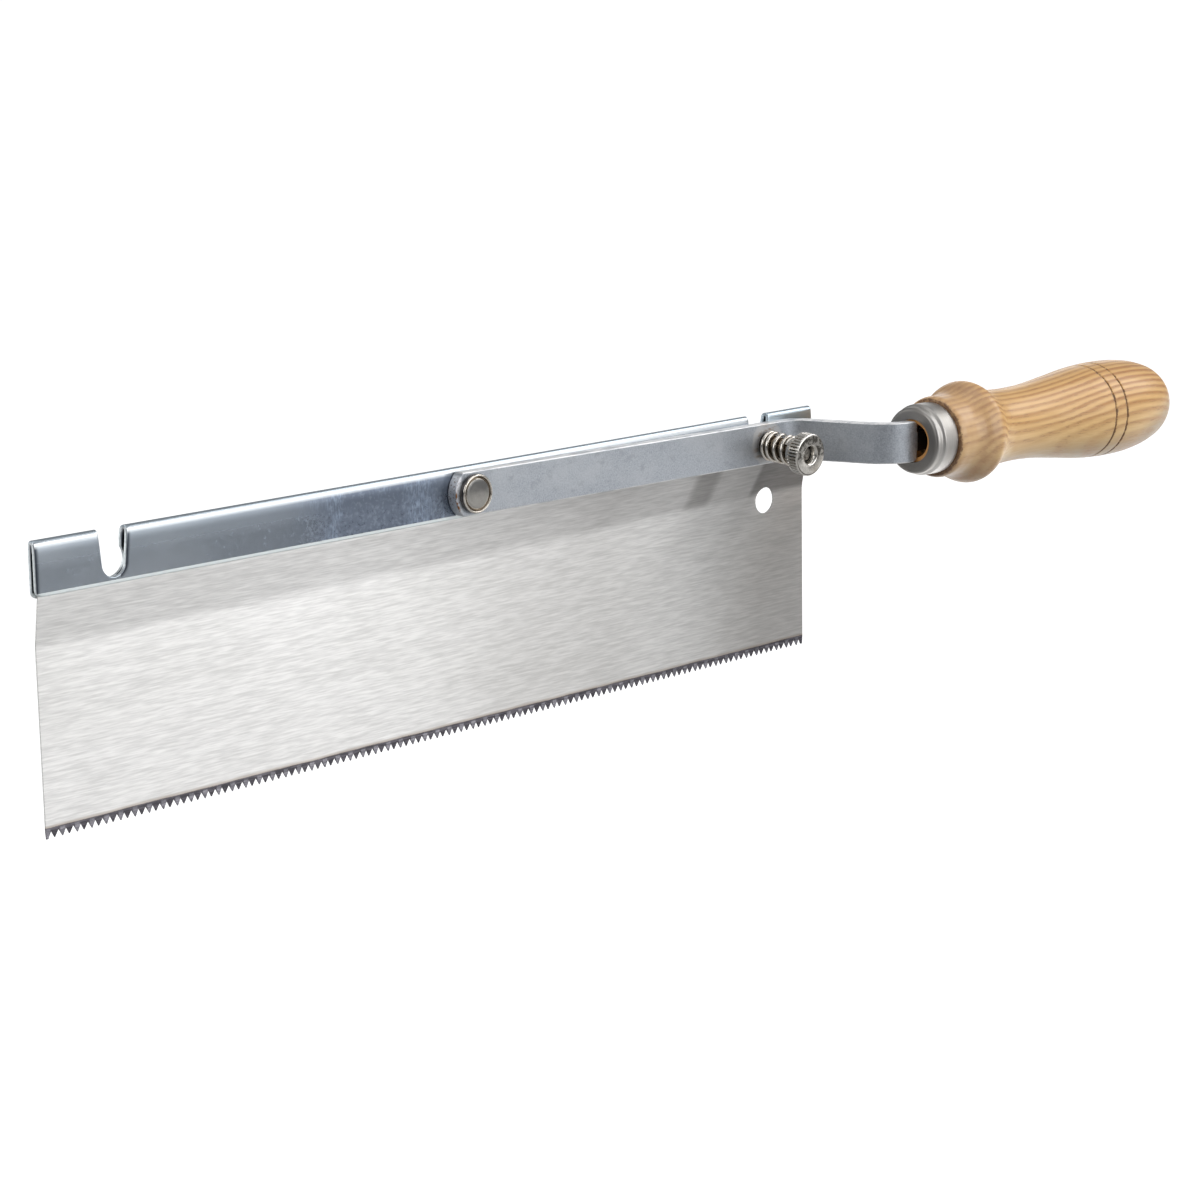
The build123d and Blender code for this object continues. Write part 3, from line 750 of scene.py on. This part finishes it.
def satin_ferrule():
    """Satin plate brushed round and round; the end that faces the arm is painted dark grey, a painted
    reflection of the dim surroundings.
    """
    p = Paint("satin_ferrule", Metallic=1.0)
    start = arm_point(FERRULE_AT, HANDLE_Y) * MM
    x = p.axis(0, p.moved(shift=(-start.x, 0, 0)))
    turned = p.noise(3200, (1, 0.03, 0.03), 2)
    broad = p.noise(150, (1, 0.6, 0.6), rough=0.55)
    base = p.ramp(turned, (0.32, (0.37, 0.356, 0.338)), (0.68, (0.45, 0.436, 0.418)))
    level = p.fma(x, tan(ARM_DROOP), p.axis(2, p.moved(shift=(0, 0, -start.z))))
    # painted light: the lower side is paler, where light from below falls on it
    base = p.mix(p.band(level, -0.0075, -0.0010, 0.95, 0.0), base, (0.93, 0.90, 0.86))
    base = p.mix(p.band(broad, 0.48, 0.75, 0.0, 0.4), base, (0.42, 0.385, 0.33))
    # painted reflection: the end face is dark grey
    face = p.fall(x, 0.0001, 0.0007)
    base = p.mix(p.times(face, 0.75), base, (0.21, 0.20, 0.19))
    # painted highlight: the rounded rear rim is pale
    rim = p.band(x, 0.0074, 0.0078)
    base = p.mix(p.times(rim, 0.6), base, (0.80, 0.79, 0.77))
    return p.done(base, p.band(turned, 0.3, 0.7, 0.38, 0.46), p.bump(turned, 0.004, 0.15))


RING_SPACING = 0.0018


def ash_wood():
    p = Paint("lacquered_ash", Coat_Weight=0.3, Coat_Roughness=0.24, IOR=1.5)
    start = arm_point(FERRULE_AT, HANDLE_Y) * MM
    local = p.moved(shift=(-start.x, -start.y, -start.z))
    x = p.axis(0, local)
    level = p.fma(x, tan(ARM_DROOP), p.axis(2, local))
    away = p.node("CombineXYZ")
    p.feed(away.inputs[1], p.axis(1, local))
    p.feed(away.inputs[2], level)
    radius = p.node("VectorMath", operation="LENGTH")
    p.feed(radius.inputs[0], away.outputs[0])
    radius = radius.outputs["Value"]
    # growth rings: nearly flat layers that lean a little along the handle
    lean = p.node("VectorMath", operation="DOT_PRODUCT")
    p.feed(lean.inputs[0], local)
    lean.inputs[1].default_value = (0.035, -0.72, -0.69)
    warp = p.noise(24, (0.35, 1, 1), rough=0.5)
    depth = p.fma(warp, 0.0046, lean.outputs["Value"])
    spread = p.times(p.noise(90, (0.10, 1, 1), rough=0.55, shift=(4, 4, 0)), 1.7)
    layer = p.math("FRACT", p.fma(depth, 1 / RING_SPACING, spread))
    early = p.between(layer, 0.0, 0.30, 0.34, 0.86)
    strong = p.band(p.noise(70, (0.12, 1, 1), shift=(7, 1, 2)), 0.35, 0.65, 0.5, 1.0)
    early = p.times(early, strong)
    fibre = p.noise(1800, (0.05, 1, 1))
    pores = p.noise(2800, (0.085, 1, 1), 2, 0.5, shift=(2, 5, 1))
    pores = p.times(p.band(pores, 0.54, 0.62), p.band(early, 0.1, 0.6))
    patchy = p.band(p.noise(30, (0.3, 1, 1), 2, 0.5), 0.3, 0.7)
    cream = p.mix(patchy, (0.68, 0.42, 0.145), (0.78, 0.54, 0.245))
    # the upper side is more orange, with darker rings; the lower side is painted darker and greyer, a painted
    # shade that deepens towards the butt
    upper_side = p.band(p.fma(warp, 0.006, level), -0.005, 0.011, 0.0, 0.5)
    cream = p.mix(upper_side, cream, (0.62, 0.315, 0.09))
    under = p.fma(p.most(p.plus(x, -0.085), 0.0), -0.55, level)
    cream = p.mix(p.band(under, -0.0125, -0.001, 0.9, 0.0), cream, (0.475, 0.325, 0.155))
    cream = p.mix(p.band(under, -0.0120, -0.0040, 0.6, 0.0), cream, (0.25, 0.185, 0.105))
    colour = p.mix(p.band(fibre, 0.35, 0.65, 0.0, 0.25), cream, (0.50, 0.265, 0.08))
    deeper = p.fma(upper_side, 0.85, 0.50)
    colour = p.mix(p.times(early, deeper), colour, (0.40, 0.165, 0.038))
    colour = p.mix(p.times(pores, 0.36), colour, (0.28, 0.12, 0.033))
    # the front of the bead cuts across the fibres and drinks more lacquer
    flank = p.between(x, 0.0148, 0.0172, 0.0185, 0.0220)
    blotch = p.band(p.noise(300, (0.3, 1, 1)), 0.38, 0.68)
    colour = p.mix(p.times(p.times(flank, blotch), 0.55), colour, (0.33, 0.145, 0.045))
    bead_front = p.band(x, 0.0190, 0.0235, 0.34, 0.0)
    colour = p.mix(bead_front, colour, (0.50, 0.335, 0.225))
    # scorched where the collar meets the ferrule, and in the two scribed rings
    ragged = p.fma(p.noise(700, rough=0.7), 0.0018, x)
    burnt = p.fall(ragged, 0.0089, 0.0095)
    for place in RINGS:
        gap = p.size(p.plus(ragged, -(place * MM + 0.0009)))
        burnt = p.most(burnt, p.fall(gap, 0.00022, 0.00052))
    colour = p.mix(p.times(burnt, 0.85), colour, (0.12, 0.048, 0.016))
    # bare orange end grain deep in the mouth, round the tang
    inside = p.times(p.fall(radius, 0.0072, 0.0080), p.fall(x, 0.0060, 0.0075))
    colour = p.mix(p.times(inside, 0.9), colour, (0.66, 0.32, 0.10))
    hollow = p.fma(pores, -1.0, p.times(fibre, 0.3))
    return p.done(colour, p.band(fibre, 0.3, 0.7, 0.36, 0.48), p.bump(hollow, 0.06, 0.5))


# ---- blade


def to_blade(x, z):
    """Distances along and above the line of tooth tips."""
    dx, dz = x - FIRST_TOOTH[0], z - FIRST_TOOTH[1]
    c, s = cos(BLADE_TAPER), sin(BLADE_TAPER)
    return dx * c + dz * s, dz * c - dx * s


def from_blade(along, height):
    c, s = cos(BLADE_TAPER), sin(BLADE_TAPER)
    return FIRST_TOOTH[0] + along * c - height * s, FIRST_TOOTH[1] + along * s + height * c


def blade_top(along):
    """A point on the blade's upper edge, which the back hides."""
    return from_blade(along, LEAN_TOP + SEAT - along * tan(BLADE_TAPER))


TIP_HALF, SET, SET_HEIGHT, SET_CURVE, GROUND = 0.05, 0.13, 2.1, 1.35, 0.25
BEND_SOFT, SLOT_HALF, SLOT_FLOOR = 1.4, 5.5, PIVOT_Z - 5.65
tooth_run = TOOTH_PITCH * TOOTH_GAPS
outline = [from_blade(-END_MARGIN, 0)]
for gap in range(TOOTH_GAPS):
    tip = gap * TOOTH_PITCH
    uneven = 0.03 * sin(gap * 2.4)
    outline += [
        from_blade(tip + TIP_HALF, abs(uneven)),
        from_blade(tip + TOOTH_PITCH / 2, TOOTH_DEPTH + uneven),
        from_blade(tip + TOOTH_PITCH - TIP_HALF, abs(uneven) / 2),
    ]
outline.append(from_blade(tooth_run + END_MARGIN, 0))
outline.append(blade_top(tooth_run + END_MARGIN))
for centre in (PIVOT_X + NOTCH_REACH, PIVOT_X - NOTCH_REACH):
    ceiling = blade_top(to_blade(centre, 0)[0])[1]
    outline += [(centre + SLOT_HALF, ceiling), (centre + SLOT_HALF, SLOT_FLOOR)]
    outline += [(centre - SLOT_HALF, SLOT_FLOOR), (centre - SLOT_HALF, ceiling)]
outline.append(blade_top(-END_MARGIN))
sheet = plate([outline, circle((0, 0), HOLE_RADIUS, 64)], BLADE_THICKNESS, 0.05, 2)
blade_up = (-sin(BLADE_TAPER), cos(BLADE_TAPER))
# cut where the teeth are set, where the sheet bends and where its lean ends
lines = [0.8, TOOTH_DEPTH, 1.9, SET_HEIGHT] + [BEND_HEIGHT + 0.35 * i for i in range(-4, 5)]
cut(sheet, [(from_blade(0, h), blade_up) for h in lines])
cut(sheet, [((0, z), (0, 1)) for z in (10.3, 10.7, 11.1)])


def blade_place(u, v, w):
    """The blade leans over above its bend, and its teeth are set to either side and ground thinner."""
    along, height = to_blade(u, v)
    top_height = LEAN_TOP - along * tan(BLADE_TAPER)
    slope = BACK_MID_Y / (top_height - BEND_HEIGHT)
    near = height - BEND_HEIGHT
    if near <= -BEND_SOFT:
        y = 0
    elif near < BEND_SOFT:
        y = slope * (near + BEND_SOFT) ** 2 / (4 * BEND_SOFT)
    else:
        y = slope * near
    y = max(y, BACK_MID_Y)
    if height < SET_HEIGHT:
        side = -1 if floor(along / TOOTH_PITCH + 0.5) % 2 == 0 else 1
        y += side * SET * (1 - max(0, height) / SET_HEIGHT) ** SET_CURVE
    ground = 1 - GROUND * max(0, min(1, 1 - height / SET_HEIGHT))
    return u, y + w * ground, v


blade = finished(placed("saw_blade", sheet, blade_place), blade_steel(), 25)
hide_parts("blade")
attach(blade, "saw")

# ---- folded back

near_height = BACK_TOP - (FOLD_MID + SHEET / 2) - LIP_Z
fold_length = pi * FOLD_MID
far_height = near_height + FAR_DROP
sheet_height = near_height + fold_length + far_height
CORNER, KEYHOLE_FLOOR = 1.6, 11.25
heel_x = PIVOT_X + BACK_LENGTH / 2
corners = (
    (heel_x - CORNER, CORNER, -90), (heel_x - CORNER, sheet_height - CORNER, 0),
    (toe_x + CORNER, sheet_height - CORNER, 90), (toe_x + CORNER, CORNER, 180),
)
outline = [point for x, v, start in corners for point in arc((x, v), CORNER, start, start + 90, 8)]


def notch(centre):
    """A notch through the fold: a tapered U in the near wall, and a keyhole in the far wall."""
    top_half = 3.8
    floor_v = NOTCH_RISE + NOTCH_HALF
    top_v = near_height + 0.9
    key, neck = 4.0, 3.25
    key_v = sheet_height - (BACK_TOP - KEYHOLE_FLOOR + key - (LIP_Z - FAR_DROP))
    neck_v = key_v - sqrt(key**2 - neck**2)
    lip_line = through([(centre + top_half, top_v - 1.2), (centre + top_half, top_v - 0.2),
                        (centre + neck + 0.1, top_v + 1.9), (centre + neck, top_v + 2.9)], 4)
    side = lip_line + [(centre + neck, neck_v)]
    angle = atan2(neck_v - key_v, neck) * 180 / pi
    loop = arc((centre, floor_v), NOTCH_HALF, 180, 360, 14) + side
    loop += arc((centre, key_v), key, angle, 180 - angle, 22)[1:-1]
    loop += [(2 * centre - x, v) for x, v in reversed(side)]
    return loop


reach = (PIVOT_X - NOTCH_REACH, PIVOT_X + NOTCH_REACH)
sheet = plate([outline] + [notch(centre) for centre in reach], SHEET, 0.24, 3)
SHOULDER, LEAN_IN = 2.4, 0.13
FOLD_CUTS, SHOULDER_CUTS = 36, 6
folds = [near_height + fold_length * i / FOLD_CUTS for i in range(FOLD_CUTS + 1)]
soft_steps = [SHOULDER * i / SHOULDER_CUTS for i in range(1, SHOULDER_CUTS + 1)]
folds += [near_height - step for step in soft_steps]
folds += [near_height + fold_length + step for step in soft_steps]
cut(sheet, [((0, v), (0, 1)) for v in folds])
for centre in reach:
    cut(sheet, [((centre + d, 0), (1, 0)) for d in (-9, -7, -5.6, -4.8, 4.8, 5.6, 7, 9)])
for end, inward in ((toe_x, 1), (heel_x, -1)):
    cut(sheet, [((end + inward * i, 0), (1, 0)) for i in (3, 8, 13)])
join_strips(sheet)


def back_place(u, v, w):
    """The walls lean in a little as they near the fold, so that it has soft shoulders."""
    turn = 2 * LEAN_IN / SHOULDER**2
    beyond = max(near_height - v, v - near_height - fold_length)
    side = -1 if v < near_height + fold_length / 2 else 1
    if beyond > 0:
        near = max(0, SHOULDER - beyond)
        slope = turn * near
        out, height = FOLD_MID - turn * near**2 / 2, near_height - beyond
    else:
        angle = min(v - near_height, near_height + fold_length - v) / FOLD_MID
        radius = FOLD_MID - LEAN_IN
        slope = turn * SHOULDER + angle * (1 - 2 * turn * SHOULDER / pi)
        out = radius * cos(angle)
        height = near_height + FOLD_MID * sin(angle)
    return u, BACK_MID_Y + side * (out + w * cos(slope)), LIP_Z + height + w * sin(slope)


back = finished(placed("folded_back", sheet, back_place), plated_zinc(), 50)
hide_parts("back")
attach(back, "saw")

# ---- arm

half = ARM_HEIGHT / 2
END_RADIUS, OVERHANG, ROUND, PIVOT_HOLE = 6.9, 6.0, 1.5, 2.58
end_angle = 180 / pi * atan2(half, sqrt(END_RADIUS**2 - half**2))
developed = SHOULDER_AT - (
    CRANK_START + CRANK_RUN * cos(CRANK_ANGLE) + (BEND_ONE + BEND_TWO) * sin(CRANK_ANGLE)
)
crank_stops = [CRANK_START]
for length in (BEND_ONE * CRANK_ANGLE, CRANK_RUN, BEND_TWO * CRANK_ANGLE, developed):
    crank_stops.append(crank_stops[-1] + length)
shoulder = crank_stops[-1]
TANG_HALF = 2.6
outline = (
    arc((END_RADIUS - OVERHANG, 0), END_RADIUS, 180 - end_angle, 180 + end_angle, 24)
    + arc((shoulder - ROUND, -half + ROUND), ROUND, -90, 0, 6)
    + [(shoulder, -TANG_HALF), (shoulder + TANG_LENGTH - 8, -TANG_HALF), (shoulder + TANG_LENGTH, -1.1)]
    + [(shoulder + TANG_LENGTH, 1.1), (shoulder + TANG_LENGTH - 8, TANG_HALF), (shoulder, TANG_HALF)]
    + arc((shoulder - ROUND, half - ROUND), ROUND, 0, 90, 6)
)
hole_drop = (HEAD_Y - ARM_MID_Y) * tan(LOCK_TILT)
holes = [circle((0, 0), PIVOT_HOLE, 48), circle((NOTCH_REACH, -hole_drop), STUD_HOLE, 48)]
bar = plate([outline] + holes, ARM_THICKNESS, 0.28, 3)
BEND_CUTS = 14
for start, end in (crank_stops[0:2], crank_stops[2:4]):
    cut(bar, [((start + (end - start) * i / BEND_CUTS, 0), (1, 0)) for i in range(BEND_CUTS + 1)])


def arm_place(u, v, w):
    one, two, three, _ = crank_stops[1:]
    turned = CRANK_ANGLE * max(0, min(1, (u - CRANK_START) / (one - CRANK_START)))
    along, drop = min(u, CRANK_START) + BEND_ONE * sin(turned), BEND_ONE * (1 - cos(turned))
    run = max(0, min(u, two) - one)
    along, drop = along + run * cos(CRANK_ANGLE), drop + run * sin(CRANK_ANGLE)
    back_by = CRANK_ANGLE * max(0, min(1, (u - two) / (three - two)))
    heading = turned - back_by
    along += BEND_TWO * (sin(CRANK_ANGLE) - sin(CRANK_ANGLE - back_by))
    drop += BEND_TWO * (cos(CRANK_ANGLE - back_by) - cos(CRANK_ANGLE))
    along += max(0, u - three)
    return arm_point(along - w * sin(heading), ARM_MID_Y - drop - w * cos(heading)) + UP * v


arm = finished(placed("handle_arm_bar", bar, arm_place), dull_zinc(), 50)
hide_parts("arm")
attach(arm, "handle_arm")

# ---- pivot rivet

arm_near_y = ARM_MID_Y - ARM_THICKNESS / 2
head_back = 0.1
far_side = abs(arm_near_y + 0.4)
rivet_profile = (
    through(
        [(1.46, 0.0), (1.45, 1.4), (1.42, 2.6), (1.38, 3.3), (1.3, 3.6), (1.14, 3.78), (0.98, 3.88),
         (0.94, 4.0), (1.02, 4.12), (1.34, 4.26), (1.48, 4.42), (1.46, 4.6), (1.28, 4.77), (0.8, 4.85)],
        7,
    )
    + [(head_back, 4.83), (head_back, 2.5), (-far_side, 2.5), (-far_side, 4.2)]
    + through([(-far_side - x, r) for x, r in ((0.06, 4.2), (0.3, 3.2), (0.52, 1.6), (0.6, 0.0))], 6)
)
rivet = lathe("pivot_rivet_head", rivet_profile, Vector((PIVOT_X, arm_near_y, PIVOT_Z)), TOWARD_KNOB, UP, 96)
finished(rivet, pressed_rivet(), 50)
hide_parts("pivot_rivet")
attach(rivet, "saw")

# ---- lock: stud, spring and knurled nut

stud_end = NUT_AT + HUB + RIM - RECESS
thread = []
at = NUT_AT
while at < stud_end - 0.5:
    thread += [(at, 2.4), (at + 0.13, 2.4), (at + 0.3, 2.14), (at + 0.38, 2.14)]
    at += THREAD_PITCH
stud_profile = (
    [(-0.8, 0.0), (-0.8, 3.1), (-0.7, 3.4), (-0.45, 3.58), (0.68, 3.6), (0.8, 3.5), (0.8, 2.9)]
    + [(NUT_AT - 0.35, 2.9), (NUT_AT - 0.12, 2.65)]
    + thread
    + [(stud_end - 0.4, 2.14), (stud_end, 1.65), (stud_end - 0.05, 1.2), (stud_end - 0.1, 0.0)]
)
stud = lathe("lock_stud_turned", stud_profile, lock_point(0), LOCK_OUT, LOCK_UP, 64)
finished(stud, threaded_nickel(), 40)
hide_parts("lock_stud")
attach(stud, "lock_pin")

WIRE = 0.5
COIL = SPRING_RADIUS - WIRE


def spring_mesh():
    """A coil with closed, ground ends: the wire follows a helix whose pitch opens in the middle."""
    turns, per_turn, sides = 4.25, 60, 14
    foot, cap, tight = 1.0, 0.85, 1.15
    open_turns = turns - foot - cap
    rise = SPRING_LENGTH - 2 * WIRE - (foot + cap) * tight
    count = int(turns * per_turn)
    centres = []
    for i in range(count + 1):
        t = turns * i / count
        low = min(t, foot) * tight
        middle = rise * max(0, min(1, (t - foot) / open_turns))
        high = max(0, t - foot - open_turns) * tight
        angle = 2 * pi * t - 0.6
        out = lock_point(SPRING_AT + WIRE + low + middle + high)
        ray = LOCK_UP * cos(angle) + LOCK_OUT.cross(LOCK_UP) * sin(angle)
        centres.append((out + ray * COIL, ray))
    points, faces = [], []
    for centre, ray in centres:
        for k in range(sides):
            a = 2 * pi * k / sides
            points.append(centre + ray * WIRE * cos(a) + LOCK_OUT * WIRE * sin(a))
    for i in range(count):
        for k in range(sides):
            j = (k + 1) % sides
            faces.append((i * sides + k, i * sides + j, (i + 1) * sides + j, (i + 1) * sides + k))
    faces += [tuple(range(sides))[::-1], tuple(count * sides + k for k in range(sides))]
    return mesh_from("lock_spring_coil", points, faces)


spring = finished(spring_mesh(), spring_nickel(), 60, weighted=False)
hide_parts("lock_spring")
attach(spring, "handle_arm")
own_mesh(spring)

KNURLS, KNURL_DEPTH = 40, 0.42
rim_start, face_at = HUB, HUB + RIM


def knurled(x, r, angle):
    """Straight knurls: rounded ridges that fade out at both ends of the rim."""
    if r < 5.0:
        return 0, r
    ends = min(1, max(0, (x - rim_start - 0.15) / 0.25)) * min(1, max(0, (face_at - 0.3 - x) / 0.25))
    wave = abs((angle * KNURLS / (2 * pi) + 0.5) % 1 - 0.5) * 2
    groove = max(0, 1 - wave / 0.5) ** 0.9
    return 0, r - KNURL_DEPTH * ends * groove


bore = []
at = face_at - 1.75
while at > 1.0:
    bore += [(at, 2.48), (at - 0.12, 2.48), (at - 0.3, 2.66), (at - 0.38, 2.66)]
    at -= THREAD_PITCH
nut_profile = (
    [(0.0, 2.55), (0.0, 3.85), (0.08, 4.02), (0.25, 4.1), (1.7, 4.1), (1.92, 4.18), (rim_start, 4.5)]
    + [(rim_start, 5.1), (rim_start + 0.05, 5.42), (rim_start + 0.15, 5.52), (rim_start + 0.3, 5.58)]
    + [(rim_start + 0.42, 5.6)] + [(rim_start + 0.42 + 0.28 * i, 5.6) for i in range(1, 9)]
    + [(face_at - 0.62, 5.6), (face_at - 0.5, 5.6), (face_at - 0.3, 5.57), (face_at - 0.16, 5.5)]
    + [(face_at - 0.05, 5.36), (face_at, 5.15), (face_at, 2.8), (face_at - 0.04, 2.66)]
    + [(face_at - 0.16, 2.5), (face_at - 0.5, 2.26), (face_at - 0.9, 2.06), (face_at - 1.55, 1.92)]
    + bore
)
nut = lathe("knurled_thumb_nut", nut_profile, lock_point(NUT_AT), LOCK_OUT, LOCK_UP, KNURLS * 8, knurled)
finished(nut, knurled_nickel(), 50)
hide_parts("knurled_nut")
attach(nut, "lock_knob")

# ---- ferrule and handle

axis_start = arm_point(FERRULE_AT, HANDLE_Y)
DIMPLE_X, DIMPLE_ANGLE, DIMPLE_DEPTH, DIMPLE_RADIUS = 6.3, radians(-24), 0.45, 0.62


def dimple(x, r, angle):
    """A punch mark that pins the ferrule to the wood."""
    if r < 9.2:
        return 0, r
    gap = (angle - DIMPLE_ANGLE + pi) % (2 * pi) - pi
    away = hypot(x - DIMPLE_X, gap * r)
    return 0, r - DIMPLE_DEPTH * exp(-((away / DIMPLE_RADIUS) ** 2))


ferrule_profile = (
    [(0.0, 5.8), (0.0, 7.6)]
    + [(0.95 - 0.95 * cos(radians(a)), 7.95 + 0.95 * sin(radians(a))) for a in range(10, 91, 10)]
    + [(1.5, 8.9)]
    + through([(1.8, 8.9), (2.0, 8.93), (2.35, 9.2), (2.65, 9.46), (2.9, 9.5)], 4)
    + [(2.9 + 0.3 * i, 9.5) for i in range(1, 16)]
    + [(7.6, 9.5), (7.8, 9.47), (7.93, 9.38), (8.0, 9.25), (8.0, 8.75), (2.8, 8.72), (2.8, 8.12), (0.8, 8.12)]
    + [(0.8, 5.8), (0.7, 5.72), (0.1, 5.72)]
)
ferrule = lathe("ferrule_cup", ferrule_profile, axis_start, ALONG, UP, 180, dimple)
finished(ferrule, satin_ferrule(), 50)
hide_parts("ferrule")
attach(ferrule, "handle_arm")

GROOVE_HALF, GROOVE_DEPTH, BUTT_AT = 0.42, 0.32, 100


def handle_profile():
    bead = through([(8.05, 10.3, "corner"), (8.6, 10.62), (12.0, 10.86), (15.0, 11.02), (16.9, 11.75),
                    (18.8, 12.9), (21.8, 13.74), (24.5, 12.75), (26.2, 11.62), (26.7, 11.36, "corner")], 7)
    body = through([(26.7, 11.36, "corner"), (27.6, 11.05), (30.5, 10.42), (34.5, 10.12), (39.5, 9.98),
                    (48, 10.25), (60, 11.55), (71, 12.85), (80.5, 13.28), (89, 12.95), (97, 11.65),
                    (101.5, 10.15), (104.6, 8.07), (106.3, 5.2), (106.84, 1.9), (106.9, 0.0)], 14)
    shaped = bead[:-1] + body
    for place in RINGS:
        here = [p for p in shaped if abs(p[0] - place) > GROOVE_HALF * 1.3]
        level_r = min(shaped, key=lambda p: abs(p[0] - place))[1]
        for d, k in ((-1.0, 0), (-0.8, 0.12), (-0.45, 0.75), (0, 1), (0.45, 0.75), (0.8, 0.12), (1.0, 0)):
            here.append((place + d * GROOVE_HALF, level_r - k * GROOVE_DEPTH))
        shaped = sorted(p for p in here if p[0] <= BUTT_AT) + [p for p in here if p[0] > BUTT_AT]
    return shaped


wood_front = [(11.0, 0.0), (11.0, 4.6), (0.95, 4.6), (0.87, 4.75), (0.85, 4.9), (0.85, 8.0), (2.75, 8.05),
              (2.86, 8.1), (2.86, 8.62), (8.02, 8.66), (8.05, 9.0)]
handle = lathe("turned_handle", wood_front + handle_profile(), axis_start, ALONG, UP, 160)
finished(handle, ash_wood(), 45, weighted=False)
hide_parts("handle")
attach(handle, "handle_arm")

low, high = cad_box
